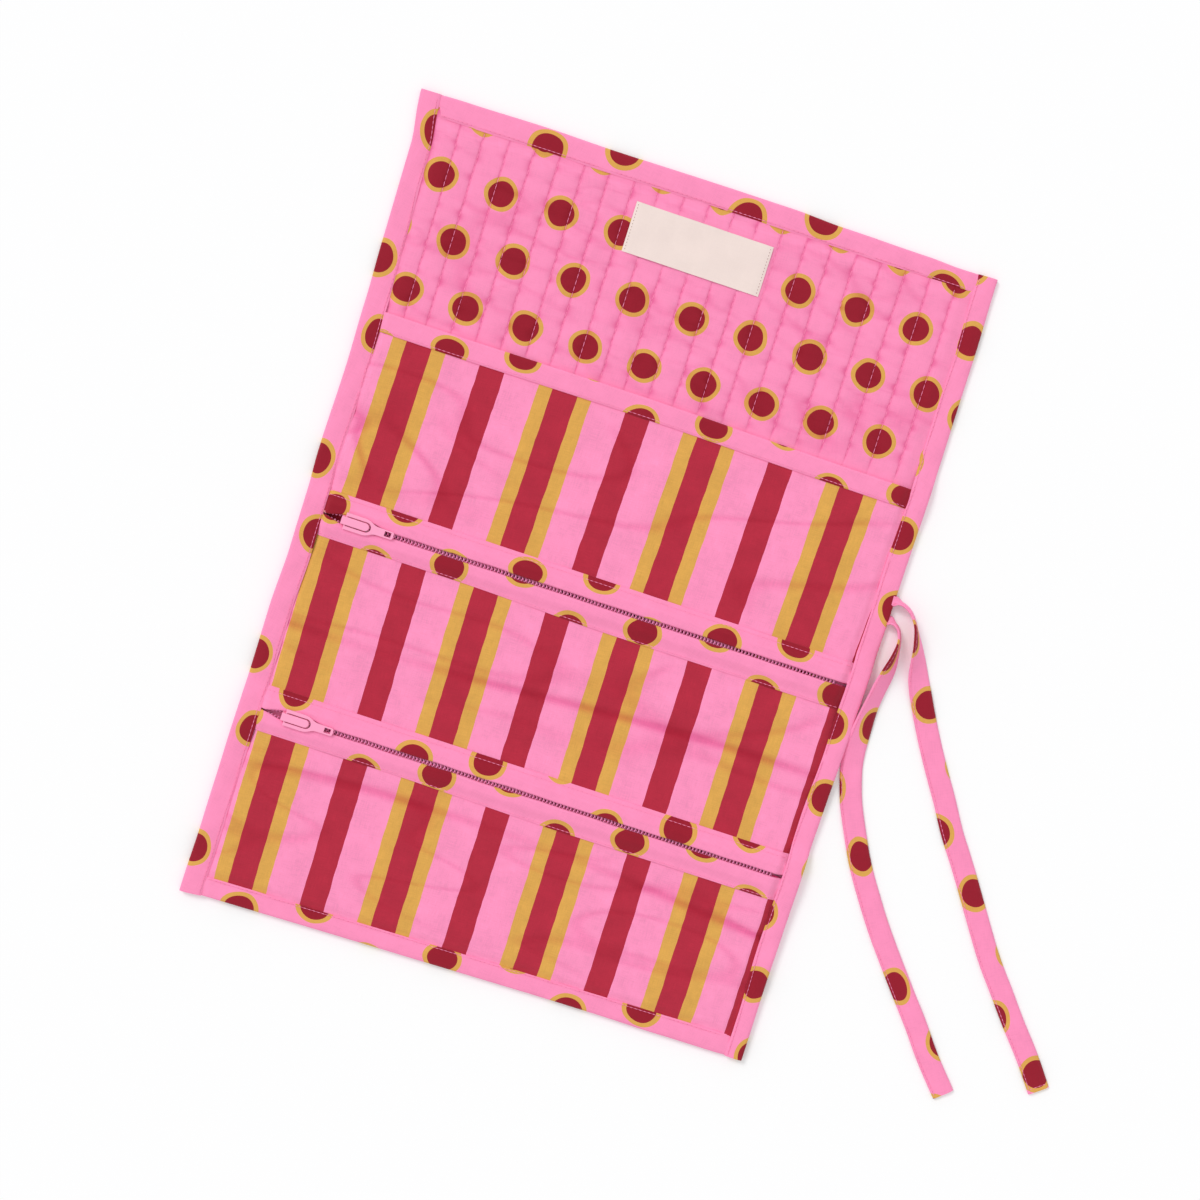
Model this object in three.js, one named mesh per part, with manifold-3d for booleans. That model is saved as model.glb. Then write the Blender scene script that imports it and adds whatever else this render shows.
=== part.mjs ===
// Jewelry roll, laid open: a quilted cotton panel with a flap, a slip pocket, two zip pockets and two ties.
// Millimetres. X runs across the panel, Y up its length and Z up from the table it lies on.
// The origin is at the middle of the panel's underside.
import * as THREE from 'three';
import { mergeVertices } from 'three/addons/utils/BufferGeometryUtils.js';
import Module from 'manifold-3d';

const wasm = await Module();
wasm.setup();

// The panel and its three folds
const panelWidth = 248;
const panelLength = 344;
const flapLength = 76;
const slipSectionLength = 90.8;
const zipSectionLength = 85.2;
const foldGap = 0.3;
// The pockets' seams were sewn a little askew: this far down for each millimetre to the right
const seamSlope = -0.0155;

// Cloth, wadding and quilting
const cloth = 0.4;
const plyGap = 0.2;
const panelThickness = 2.5;
const quiltPitch = 10.65;
const quiltPuff = 0.35;
const bindingWidth = 8.5;
const bindingChamfer = 0.2;
const pinchRun = 2.7;

// The slip pocket
const slipPocketDepth = 75.8;
const mouthBandWidth = 8.5;

// The zips, which are the same size in both pockets
const zipBelowFold = 10.2;
const bandBelowZip = 9.4;
const toothPitch = 1.8;
const toothHeight = 1.4;
const toothClearance = 0.6;
const chainWidth = 4.2;
const coilHeight = 0.9;
const tapeThickness = 0.35;
const tapeInnerEdge = 1.15;
const tapeReach = 7.4;
const bandThickness = 0.45;
const chainSpread = 1.5;
const closedLipGap = 0.6;
const lipClearance = 0.35;
const lipFallShare = 1.7;
const bandSinkShare = 0.5;
const frontRiseShare = 0.7;
const frontKneeShare = 0.15;
const bindingRiseShare = 0.6;

// The sliders and their pulls
const sliderLength = 12;
const sliderNoseWidth = 9;
const sliderTailWidth = 6.2;
const sliderPlate = 0.5;
const sliderFromBinding = 18;
const sliderClearance = 0.25;
const crownWidth = 3.3;
const crownRise = 2.25;
const crownBevelShare = 0.6;
const crownSideGap = 0.45;
const crownEndGap = 0.75;
const pullThickness = 0.8;
const pullLength = 20.5;
const pullLoopWidth = 7;
const pullTabWidth = 3.3;
const pullSlotLength = 2.8;
const pullSlotWidth = 2.1;
const pullEndBar = 1;

// The label and the ties
const labelWidth = 59;
const labelHeight = 21;
const labelThickness = 0.3;
const labelCentreX = 2.5;
const labelBelowTop = 26.2;
const tieWidth = 9.4;
const tieThickness = 1.2;
const tieEdge = 0.3;
const tieStep = 5.4;
const tieLiftShare = 0.35;

const pink = '#ff90bd';
const dotRed = '#a82240';
const cream = '#efdcd2';
const toothPink = '#a62c62';
const paintedPink = '#ffa6c8';
const wadding = '#f3eee6';

const sideX = panelWidth / 2;
const topY = panelLength / 2;
const bottomY = -topY;
const flapFoldY = topY - flapLength;
const pocket2FoldY = flapFoldY - slipSectionLength;
const pocket3FoldY = pocket2FoldY - zipSectionLength;
const bindingInnerX = sideX - bindingWidth;
const bindingWallX = sideX - cloth;
const layerReachX = bindingWallX - plyGap;
const pinchedX = bindingInnerX - foldGap;
const openX = pinchedX - pinchRun;
const crestX = openX - pinchRun / 2;
const sliderRestX = sliderFromBinding - bindingInnerX;

// Levels above the table of everything that lies on the quilt
const pocketLow = panelThickness + plyGap;
const platesLow = pocketLow;
const tapeLow = platesLow + sliderPlate + plyGap;
const coilLow = tapeLow + tapeThickness + plyGap;
const coilTop = coilLow + coilHeight;
const topPlateLow = coilTop + plyGap;
const topPlateHigh = topPlateLow + sliderPlate;
const lipLow = topPlateHigh + plyGap;
const lipHigh = lipLow + bandThickness;
const pullLow = lipHigh + plyGap;
const pullAxisZ = pullLow + pullThickness / 2;
const crownTop = topPlateHigh + crownRise;

// How far a seam that crosses the panel has moved along Y at a place across it.
const seamShift = (x) => seamSlope * x;
const mix = (from, to, share) => from + (to - from) * share;
const ramp = (value, from, to) => THREE.MathUtils.clamp((value - from) / (to - from), 0, 1);

// A body through outlines with equal point counts, closed by a face at each end.
// place turns a station and an outline point into a point of the panel.
function sweep(stations, place) {
  const count = stations[0].outline.length;
  const positions = stations.flatMap((station) => station.outline.flatMap(([u, v]) => place(station, u, v)));
  const index = [];
  for (let row = 0; row < stations.length - 1; row += 1) {
    for (let k = 0; k < count; k += 1) {
      const here = row * count + k;
      const next = row * count + ((k + 1) % count);
      index.push(here, next, next + count, here, next + count, here + count);
    }
  }
  const contour = stations[0].outline.map(([u, v]) => new THREE.Vector2(u, v));
  const clockwise = THREE.ShapeUtils.isClockWise(contour);
  const last = (stations.length - 1) * count;
  for (const face of THREE.ShapeUtils.triangulateShape(clockwise ? contour.slice().reverse() : contour, [])) {
    const [a, b, c] = clockwise ? face.map((k) => count - 1 - k).reverse() : face;
    index.push(a, c, b, last + a, last + b, last + c);
  }
  const geometry = new THREE.BufferGeometry();
  geometry.setAttribute('position', new THREE.Float32BufferAttribute(positions, 3));
  geometry.setIndex(index);
  return faceOutward(geometry);
}

// Six times the volume that a closed surface holds, negative when its faces point in.
function signedVolume(geometry) {
  const points = geometry.getAttribute('position');
  const [a, b, c] = [new THREE.Vector3(), new THREE.Vector3(), new THREE.Vector3()];
  let sum = 0;
  for (let k = 0; k < geometry.index.count; k += 3) {
    a.fromBufferAttribute(points, geometry.index.getX(k));
    b.fromBufferAttribute(points, geometry.index.getX(k + 1));
    c.fromBufferAttribute(points, geometry.index.getX(k + 2));
    sum += a.dot(b.cross(c));
  }
  return sum;
}

function faceOutward(geometry) {
  if (signedVolume(geometry) < 0) {
    geometry.index.array.reverse();
  }
  geometry.computeVertexNormals();
  return geometry;
}

const alongY = (stations) => sweep(stations, ({ at, slope = 0 }, x, z) => [x, at + slope * x, z]);
const alongX = (stations) => sweep(stations, ({ at }, y, z) => [at, y + seamShift(at), z]);

function finish(name, geometry, color, roughness = 0.9, metalness = 0) {
  const material = new THREE.MeshStandardMaterial({ color, roughness, metalness });
  const mesh = new THREE.Mesh(geometry, material);
  mesh.name = name;
  return mesh;
}

// Quilted layers. Each surface has a height on a channel's crest, on a stitch line and inside the binding.
const raised = ({ crest, seam, edge }, by) => ({ crest: crest + by, seam: seam + by, edge: edge + by });
const shellLow = { crest: 0, seam: quiltPuff, edge: cloth + plyGap };
const shellHigh = raised(shellLow, cloth);
const liningHigh = {
  crest: panelThickness,
  seam: panelThickness - quiltPuff,
  edge: shellHigh.edge + plyGap + cloth,
};
const liningLow = raised(liningHigh, -cloth);
const battingLow = raised(shellHigh, plyGap);
const battingHigh = raised(liningLow, -plyGap);

// Shapes of a channel beside each stitch line: where along the pitch, and how much of the puff
const flatCrestShares = [[-0.25, 1], [0, 0], [0.25, 1]];
const pointedShares = [[0, 0], [0.5, 1]];
const crownedShares = [[-0.24, 0.74], [0, 0], [0.24, 0.74], [0.5, 1]];

// One surface of a layer from the left edge to the right one, flattened by pinch where a binding grips it.
function quiltSurface(levels, channelShares, reach, pinch) {
  const edgeShare = ramp(reach, crestX, pinchedX);
  const edgeZ = mix(levels.crest, levels.edge, edgeShare);
  const bendX = Math.min(reach, pinchedX) - foldGap * edgeShare;
  const points = [[-reach, edgeZ], [-bendX, edgeZ], [-crestX, levels.crest]];
  for (let line = quiltPitch - bindingInnerX; line < crestX; line += quiltPitch) {
    for (const [pitchShare, puffShare] of channelShares) {
      const x = line + pitchShare * quiltPitch;
      if (Math.abs(x) < crestX - foldGap) {
        points.push([x, mix(levels.seam, levels.crest, puffShare)]);
      }
    }
  }
  points.push([crestX, levels.crest], [bendX, edgeZ], [reach, edgeZ]);
  return points.map(([x, z]) => [x, mix(z, levels.edge, pinch)]);
}

function quiltLayer(low, high, lowShares, highShares, reach, stations) {
  return alongY(stations.map(({ at, slope, pinch = 0 }) => ({
    at,
    slope,
    outline: [
      ...quiltSurface(low, lowShares, reach, pinch),
      ...quiltSurface(high, highShares, reach, pinch).reverse(),
    ],
  })));
}

// The stations of a section between its two ends. An end in a binding is pinched, one at a fold is slanted.
function endStations(section, grip) {
  const bottom = section.bottomBound
    ? [
      { at: bottomY + cloth + plyGap, pinch: 1 },
      { at: bottomY + bindingWidth + foldGap, pinch: 1 },
      { at: bottomY + bindingWidth + foldGap + pinchRun },
    ]
    : [{ at: section.low + foldGap / 2, slope: section.lowSlope }];
  const top = section.topBound
    ? [
      { at: topY - bindingWidth - foldGap - pinchRun },
      { at: topY - bindingWidth - foldGap, pinch: 1 },
      { at: topY - cloth - plyGap, pinch: 1 },
    ]
    : [{ at: section.high - foldGap / 2, slope: section.highSlope }];
  if (grip) {
    return [...bottom, ...top];
  }
  // The wadding stops half way into the pinch, where the cloth above and below it meet.
  const halfway = (outer, inner) => ({ at: (outer.at + inner.at) / 2, pinch: 0.5 });
  const low = section.bottomBound ? [halfway(bottom[1], bottom[2]), bottom[2]] : bottom;
  const high = section.topBound ? [top[0], halfway(top[0], top[1])] : top;
  return [...low, ...high];
}

function quiltedSection(name, section) {
  const gripped = endStations(section, true);
  const loose = endStations(section, false);
  const battingReach = (openX + pinchedX) / 2;
  return [
    finish(`${name}_shell`,
      quiltLayer(shellLow, shellHigh, flatCrestShares, pointedShares, layerReachX, gripped), pink),
    finish(`${name}_batting`,
      quiltLayer(battingLow, battingHigh, pointedShares, pointedShares, battingReach, loose), wadding),
    finish(`${name}_lining`,
      quiltLayer(liningLow, liningHigh, pointedShares, crownedShares, layerReachX, gripped), pink),
  ];
}

// Pocket cloth comes down to a thin stack where the side bindings grip it.
const edgeLow = liningHigh.edge + plyGap;
const pressShare = 0.7;
const pressed = (z, x, base = pocketLow) => mix(
  z, edgeLow + (z - base) * pressShare, ramp(Math.abs(x), openX, pinchedX));
const pressStations = [-layerReachX, -pinchedX, -openX, openX, pinchedX, layerReachX];

// A pocket piece with one profile across the panel, pressed flat at both ends. A profile point is its place,
// its height and, where the quilt below it is pinched, the height that it is pressed down from.
function acrossPanel(profileAt, places = pressStations) {
  return alongX(places.map((at) => ({
    at,
    outline: profileAt(at).map(([y, z, base]) => [y, pressed(z, at, base)]),
  })));
}

// A strip of cloth along a line of points, with its thickness above them.
const strip = (line, thickness) => [
  ...line,
  ...line.map(([y, z, base]) => [y, z + thickness, base]).reverse(),
];

// Side bindings: a folded tape round the panel's edge. topLine gives the height under its upper leaf.
function sideBinding(side, topLine) {
  const outline = (leafLow) => {
    const leafHigh = leafLow + cloth;
    return [
      [sideX - bindingChamfer, 0],
      [bindingInnerX, 0],
      [bindingInnerX, cloth],
      [bindingWallX, cloth],
      [bindingWallX, leafLow],
      [bindingInnerX, leafLow],
      [bindingInnerX, leafHigh],
      [sideX - bindingChamfer, leafHigh],
      [sideX, leafHigh - bindingChamfer],
      [sideX, bindingChamfer],
    ].map(([x, z]) => [side * x, z]);
  };
  return alongY(topLine.map(({ at, slope, low }) => ({ at, slope, outline: outline(low) })));
}

// The binding over the top or bottom edge, between the side bindings.
function endBinding(direction, leafLow) {
  const leafHigh = leafLow + cloth;
  const edge = direction * topY;
  const inward = (distance) => edge - direction * distance;
  const outline = [
    [inward(bindingChamfer), 0],
    [inward(bindingWidth), 0],
    [inward(bindingWidth), cloth],
    [inward(cloth), cloth],
    [inward(cloth), leafLow],
    [inward(bindingWidth), leafLow],
    [inward(bindingWidth), leafHigh],
    [inward(bindingChamfer), leafHigh],
    [edge, leafHigh - bindingChamfer],
    [edge, bindingChamfer],
  ];
  const reach = bindingInnerX - foldGap;
  return sweep([-reach, reach].map((at) => ({ at, outline })), ({ at }, y, z) => [at, y, z]);
}

const flapEdgeLow = edgeLow;
const pocketEdgeLow = edgeLow + (cloth + plyGap) * pressShare + plyGap;
const lipEdgeLow = pressed(lipHigh, pinchedX) + plyGap;
const mouthTop = pocketLow + 3 * cloth + 2 * plyGap;
const mouthEdgeLow = pressed(mouthTop, pinchedX) + plyGap;
const frontEdgeLow = pressed(coilLow + cloth + plyGap + bandThickness, pinchedX) + plyGap;

// The flap: quilt only, bound at the top, with a woven label
function flap() {
  const section = { low: flapFoldY, topBound: true };
  const body = new THREE.Group();
  body.add(...quiltedSection('flap', section));
  const topLine = [{ at: flapFoldY + foldGap / 2, low: flapEdgeLow }, { at: topY, low: flapEdgeLow }];
  body.add(finish('flap_binding_left', sideBinding(-1, topLine), pink));
  body.add(finish('flap_binding_right', sideBinding(1, topLine), pink));
  body.add(finish('binding_top', endBinding(1, flapEdgeLow), pink));
  const label = finish('label', new THREE.BoxGeometry(labelWidth, labelHeight, labelThickness), cream);
  label.position.set(labelCentreX, topY - labelBelowTop, panelThickness + plyGap + labelThickness / 2);
  body.add(label);
  return body;
}

// Ties: flat sewn straps that lie loose, the outer one leaving over the inner one
const tieRestZ = tieThickness / 2 + plyGap;
const tieOverZ = tieRestZ + tieThickness * (1 + tieLiftShare);
const tieRoutes = {
  tie_outer: [
    [124.3, 33, tieOverZ], [127.6, 33, tieOverZ], [132.2, 31.2, tieOverZ], [136.2, 26.4, tieOverZ],
    [139.2, 19.8, tieOverZ], [142.2, 12.2, tieOverZ], [145.4, 4.6, 1.8], [150.6, -5.3, 1.1],
    [157.4, -17.3, tieRestZ], [164.8, -29.3, tieRestZ], [172.5, -41.1, tieRestZ], [179.9, -53.1, tieRestZ],
    [188.3, -64.8, tieRestZ], [196.4, -76.7, tieRestZ], [204.4, -88.6, tieRestZ], [212.7, -100.5, tieRestZ],
    [222.1, -112.2, tieRestZ], [231.5, -123.9, tieRestZ], [241.3, -135.4, tieRestZ], [251.2, -148.4, tieRestZ],
  ],
  tie_inner: [
    [124.3, 24.4, tieRestZ], [126.8, 24.4, tieRestZ], [130, 22.6, tieRestZ], [132, 18.2, tieRestZ],
    [132.4, 12, tieRestZ], [131.8, 4, tieRestZ], [130.4, -5, tieRestZ], [129.3, -14, tieRestZ],
    [129.1, -24, tieRestZ], [129.4, -33, tieRestZ], [130.8, -41, tieRestZ], [134.7, -53, tieRestZ],
    [140.6, -65.5, tieRestZ], [147.1, -77.8, tieRestZ], [154.8, -89.7, tieRestZ], [163.2, -101.6, tieRestZ],
    [172.3, -113.2, tieRestZ], [181.7, -124.8, tieRestZ], [191.3, -136.4, tieRestZ], [200.4, -148.2, tieRestZ],
    [212.4, -162, tieRestZ],
  ],
};

function tie(name) {
  const halfThick = tieThickness / 2;
  const halfWide = tieWidth / 2;
  const corners = [
    [halfThick, halfWide - tieEdge], [halfThick - tieEdge, halfWide],
    [tieEdge - halfThick, halfWide], [-halfThick, halfWide - tieEdge],
    [-halfThick, tieEdge - halfWide], [tieEdge - halfThick, -halfWide],
    [halfThick - tieEdge, -halfWide], [halfThick, tieEdge - halfWide],
  ];
  const route = new THREE.CatmullRomCurve3(tieRoutes[name].map((point) => new THREE.Vector3(...point)));
  const steps = Math.round(route.getLength() / tieStep);
  const section = new THREE.Shape(corners.map(([across, along]) => new THREE.Vector2(across, along)));
  const geometry = new THREE.ExtrudeGeometry(section, { steps, extrudePath: route, bevelEnabled: false });
  return finish(name, geometry, pink);
}

// The section with the slip pocket, which carries the ties
function pocket1Section() {
  const section = { low: pocket2FoldY, lowSlope: seamSlope, high: flapFoldY };
  const body = new THREE.Group();
  body.add(...quiltedSection('pocket_1', section));
  const seamY = pocket2FoldY + foldGap / 2;
  const mouthY = pocket2FoldY + slipPocketDepth;
  const bandLowY = mouthY - mouthBandWidth;
  const frontHighZ = pocketLow + cloth + plyGap;
  const frontLine = [
    [seamY, pocketLow],
    [bandLowY - mouthBandWidth, pocketLow],
    [bandLowY - plyGap, frontHighZ],
    [mouthY - cloth - plyGap, frontHighZ],
  ];
  body.add(finish('slip_pocket_front', acrossPanel(() => strip(frontLine, cloth)), dotRed));
  const bandProfile = [
    [bandLowY, pocketLow],
    [mouthY, pocketLow],
    [mouthY, mouthTop],
    [bandLowY, mouthTop],
    [bandLowY, mouthTop - cloth],
    [mouthY - cloth, mouthTop - cloth],
    [mouthY - cloth, pocketLow + cloth],
    [bandLowY, pocketLow + cloth],
  ];
  body.add(finish('slip_pocket_mouth_band', acrossPanel(() => bandProfile), pink));
  const topLine = [
    { at: seamY, slope: seamSlope, low: pocketEdgeLow },
    { at: bandLowY - mouthBandWidth, slope: seamSlope, low: pocketEdgeLow },
    { at: bandLowY - plyGap, slope: seamSlope, low: mouthEdgeLow },
    { at: mouthY, slope: seamSlope, low: mouthEdgeLow },
    { at: (mouthY + flapFoldY) / 2, low: flapEdgeLow },
    { at: flapFoldY - foldGap / 2, low: flapEdgeLow },
  ];
  body.add(finish('pocket_1_binding_left', sideBinding(-1, topLine), pink));
  body.add(finish('pocket_1_binding_right', sideBinding(1, topLine), pink));
  body.add(tie('tie_outer'), tie('tie_inner'));
  return body;
}

// Where the two halves of a chain stand apart: round the slider's wedge, and back together at the left end
const sliderNoseX = sliderRestX - sliderLength / 2;
const spreadEndX = sliderRestX + sliderLength / 8;
const chainEndX = openX;
const spreadAt = (x) => (x > sliderNoseX
  ? chainSpread * ramp(x, spreadEndX, sliderNoseX)
  : chainSpread * (1 - ramp(x, sliderNoseX, -pinchedX)));

// Half of a coil seen from above: a straight back, and teeth that lie between those of the other half.
function coilHalf(side, zipY) {
  const halfChain = chainWidth / 2;
  const teeth = Math.floor(2 * chainEndX / toothPitch);
  const startX = -teeth * toothPitch / 2;
  const inner = [];
  for (let k = 0; k <= 2 * teeth; k += 1) {
    const x = startX + k * toothPitch / 2;
    const wave = k % 2 === 0 ? -toothHeight / 2 : toothHeight / 2;
    inner.push([x, wave + side * toothClearance / 2]);
  }
  const backs = [-chainEndX, sliderNoseX, spreadEndX, chainEndX].map((x) => (
    [THREE.MathUtils.clamp(x, startX, -startX), side * halfChain]));
  const outline = [...inner, ...backs.reverse()].map(([x, y]) => [x, y + side * spreadAt(x)]);
  const stations = [coilLow, coilTop].map((at) => ({ at, outline }));
  return sweep(stations, ({ at }, x, y) => [x, zipY + y + seamShift(x), at]);
}

// The edge of the cloth over a chain: wide enough for the crown where the slider runs, drawn in at both ends
const lipOpen = crownWidth / 2 + lipClearance;
const lipAt = (x) => mix(lipOpen, closedLipGap / 2, x < 0
  ? ramp(x, sliderNoseX, -pinchedX)
  : ramp(x, openX - foldGap, pinchedX));
const zipStations = [-layerReachX, -pinchedX, -openX, sliderNoseX, spreadEndX, openX - foldGap, openX,
  pinchedX, layerReachX];

// The cloth, tapes and coil of one zip, and the pocket front sewn below it
function zipPieces(number, zipY, foldY, kneeY, frontFoot) {
  const lipShoulder = sliderNoseWidth / 2 + lipClearance;
  const frontLapY = zipY - lipShoulder;
  const bandLevel = coilLow + cloth + plyGap;
  const slopeEnd = lipShoulder + (lipLow - bandLevel) * lipFallShare;
  const seamSide = foldY - foldGap / 2 - zipY;
  const outerLines = {
    1: [[tapeReach + tapeThickness, mix(bandLevel, coilLow, bandSinkShare)], [seamSide, tapeLow]],
    '-1': [[slopeEnd, bandLevel], [bandBelowZip, bandLevel]],
  };
  const band = (side) => acrossPanel((x) => strip([
    [lipAt(x), lipLow],
    [lipShoulder, lipLow],
    ...outerLines[side],
  ].map(([distance, z]) => [zipY + side * distance, z]), bandThickness), zipStations);
  const tape = (side) => acrossPanel((x) => strip([
    [zipY + side * (tapeInnerEdge + spreadAt(x)), tapeLow],
    [zipY + side * tapeReach, tapeLow],
  ], tapeThickness), zipStations);
  const front = acrossPanel((x) => strip([
    ...frontFoot(x),
    [kneeY, mix(pocketLow, coilLow, frontRiseShare)],
    [zipY - bandBelowZip, coilLow],
    [frontLapY, coilLow],
  ], cloth));
  return [
    finish(`zip_${number}_upper_band`, band(1), pink),
    finish(`zip_${number}_lower_band`, band(-1), pink),
    finish(`zip_${number}_tape_upper`, tape(1), toothPink),
    finish(`zip_${number}_tape_lower`, tape(-1), toothPink),
    finish(`zip_${number}_coil_upper`, coilHalf(1, zipY), toothPink, 0.5),
    finish(`zip_${number}_coil_lower`, coilHalf(-1, zipY), toothPink, 0.5),
    finish(`pocket_${number + 1}_front`, front, dotRed),
  ];
}

// Solids for joining and cutting
function solidOf(geometry) {
  const bare = geometry.clone();
  bare.deleteAttribute('normal');
  bare.deleteAttribute('uv');
  const merged = mergeVertices(bare);
  return new wasm.Manifold(new wasm.Mesh({
    numProp: 3,
    vertProperties: merged.getAttribute('position').array,
    triVerts: new Uint32Array(merged.index.array),
  }));
}

function geometryOf(solid) {
  const { vertProperties, triVerts } = solid.getMesh();
  const geometry = new THREE.BufferGeometry();
  geometry.setAttribute('position', new THREE.BufferAttribute(vertProperties, 3));
  geometry.setIndex(new THREE.BufferAttribute(triVerts, 1));
  geometry.computeVertexNormals();
  return geometry;
}

// A flat piece with the given outline, from one height to another.
function slab(shape, low, high, curveSegments = 5) {
  const options = { depth: high - low, bevelEnabled: false, curveSegments };
  const geometry = new THREE.ExtrudeGeometry(shape, options);
  geometry.translate(0, 0, low);
  return solidOf(geometry);
}

const outlineShape = (points) => new THREE.Shape(points.map(([x, y]) => new THREE.Vector2(x, y)));
const mirroredOutline = (upper) => [...upper, ...upper.map(([x, y]) => [x, -y]).reverse()];

// Slider values that the pull shares: x is measured from the slider's middle
const noseX = -sliderLength / 2;
const tailX = sliderLength / 2;
const crownEnd = tailX - sliderClearance / 2;
const barRadius = pullThickness / 2;
const tunnelRadius = barRadius + sliderClearance;
const pullPivotX = noseX + sliderPlate + 2 * tunnelRadius;

// The slider: two plates joined by a wedge, rims that hold the chain in, and a crown over the pull
function sliderGeometry() {
  const halfNose = sliderNoseWidth / 2;
  const halfTail = sliderTailWidth / 2;
  const corner = sliderPlate;
  const outerSide = [
    [noseX, halfNose - 2 * corner],
    [noseX + corner, halfNose - corner / 2],
    [noseX + 3 * corner, halfNose],
    [noseX + sliderLength / 4, halfNose - corner / 4],
    [tailX - sliderLength / 4, halfTail],
    [tailX - corner, halfTail],
    [tailX, halfTail - corner],
  ];
  const plateShape = outlineShape(mirroredOutline(outerSide));
  const overlap = sliderPlate / 2;
  const chainRoom = (x) => chainWidth / 2 + spreadAt(sliderRestX + x) + sliderClearance;
  const rimSide = outerSide.slice(1, -1);
  const rimInner = [tailX - corner, spreadEndX - sliderRestX, noseX + corner].map((x) => [x, chainRoom(x)]);
  const rim = (side) => slab(
    outlineShape([...rimSide, ...rimInner].map(([x, y]) => [x, side * y])),
    tapeLow + tapeThickness + sliderClearance, topPlateLow + overlap,
  );
  const wedgeNose = chainSpread - (toothHeight - toothClearance) / 2 - sliderClearance;
  const wedge = slab(outlineShape(mirroredOutline([
    [noseX, wedgeNose],
    [noseX + sliderLength / 5, wedgeNose / 3],
  ])), platesLow + overlap, topPlateLow + overlap);
  const crownShape = new THREE.Shape();
  const halfCrown = crownWidth / 2;
  const bevel = sliderPlate * crownBevelShare;
  crownShape.moveTo(noseX + bevel, -halfCrown + bevel);
  crownShape.lineTo(crownEnd - halfCrown, -halfCrown + bevel);
  crownShape.absarc(crownEnd - halfCrown, 0, halfCrown - bevel, -Math.PI / 2, Math.PI / 2, false);
  crownShape.lineTo(noseX + bevel, halfCrown - bevel);
  const crown = new THREE.ExtrudeGeometry(crownShape, {
    depth: crownTop - topPlateHigh - bevel,
    bevelThickness: bevel,
    bevelSize: bevel,
    bevelSegments: 2,
    curveSegments: 10,
  });
  crown.translate(0, 0, topPlateHigh);
  const tunnel = new THREE.CylinderGeometry(tunnelRadius, tunnelRadius, 2 * crownWidth, 16);
  tunnel.translate(pullPivotX, 0, pullAxisZ);
  return geometryOf(slab(plateShape, platesLow, platesLow + sliderPlate)
    .add(slab(plateShape, topPlateLow, topPlateHigh))
    .add(rim(1))
    .add(rim(-1))
    .add(wedge)
    .add(solidOf(crown))
    .subtract(solidOf(tunnel)));
}

// The pull: a loop round the crown on a bar through the tunnel, and a tab with a slot near its end
function pullGeometry() {
  const halfLoop = pullLoopWidth / 2;
  const halfTab = pullTabWidth / 2;
  const loopEnd = crownEnd - pullPivotX + crownEndGap;
  const halfHole = crownWidth / 2 + crownSideGap;
  const plate = new THREE.Shape();
  plate.moveTo(0, -halfLoop);
  plate.lineTo(loopEnd - halfLoop, -halfLoop);
  plate.bezierCurveTo(loopEnd, -halfLoop, loopEnd, -halfTab, loopEnd + halfLoop, -halfTab);
  plate.lineTo(pullLength - pullEndBar, -halfTab);
  plate.quadraticCurveTo(pullLength, -halfTab, pullLength, pullEndBar - halfTab);
  plate.lineTo(pullLength, halfTab - pullEndBar);
  plate.quadraticCurveTo(pullLength, halfTab, pullLength - pullEndBar, halfTab);
  plate.lineTo(loopEnd + halfLoop, halfTab);
  plate.bezierCurveTo(loopEnd, halfTab, loopEnd, halfLoop, loopEnd - halfLoop, halfLoop);
  plate.lineTo(0, halfLoop);
  const hole = new THREE.Shape();
  hole.moveTo(-halfLoop, -halfHole);
  hole.lineTo(loopEnd - halfHole, -halfHole);
  hole.absarc(loopEnd - halfHole, 0, halfHole, -Math.PI / 2, Math.PI / 2, false);
  hole.lineTo(-halfLoop, halfHole);
  const slotEnd = pullLength - pullEndBar;
  const slot = outlineShape(mirroredOutline([
    [slotEnd - pullSlotLength, pullSlotWidth / 2],
    [slotEnd, pullSlotWidth / 2],
  ]));
  const bar = new THREE.CylinderGeometry(barRadius, barRadius, pullLoopWidth, 14);
  return geometryOf(slab(plate, -barRadius, barRadius, 8)
    .subtract(slab(hole, -pullThickness, pullThickness, 10))
    .subtract(slab(slot, -pullThickness, pullThickness))
    .add(solidOf(bar)));
}

// A slider and its pull, set down on their chain and turned along it
function zipHardware(number, zipY) {
  const runner = new THREE.Group();
  runner.position.set(sliderRestX, zipY + seamShift(sliderRestX), 0);
  runner.rotation.z = Math.atan(seamSlope);
  const slider = finish(`zip_${number}_slider`, sliderGeometry(), paintedPink, 0.4, 0.2);
  const pull = finish(`zip_${number}_pull`, pullGeometry(), paintedPink, 0.4, 0.2);
  pull.position.set(pullPivotX, 0, pullAxisZ);
  runner.add(slider, pull);
  return runner;
}

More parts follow.
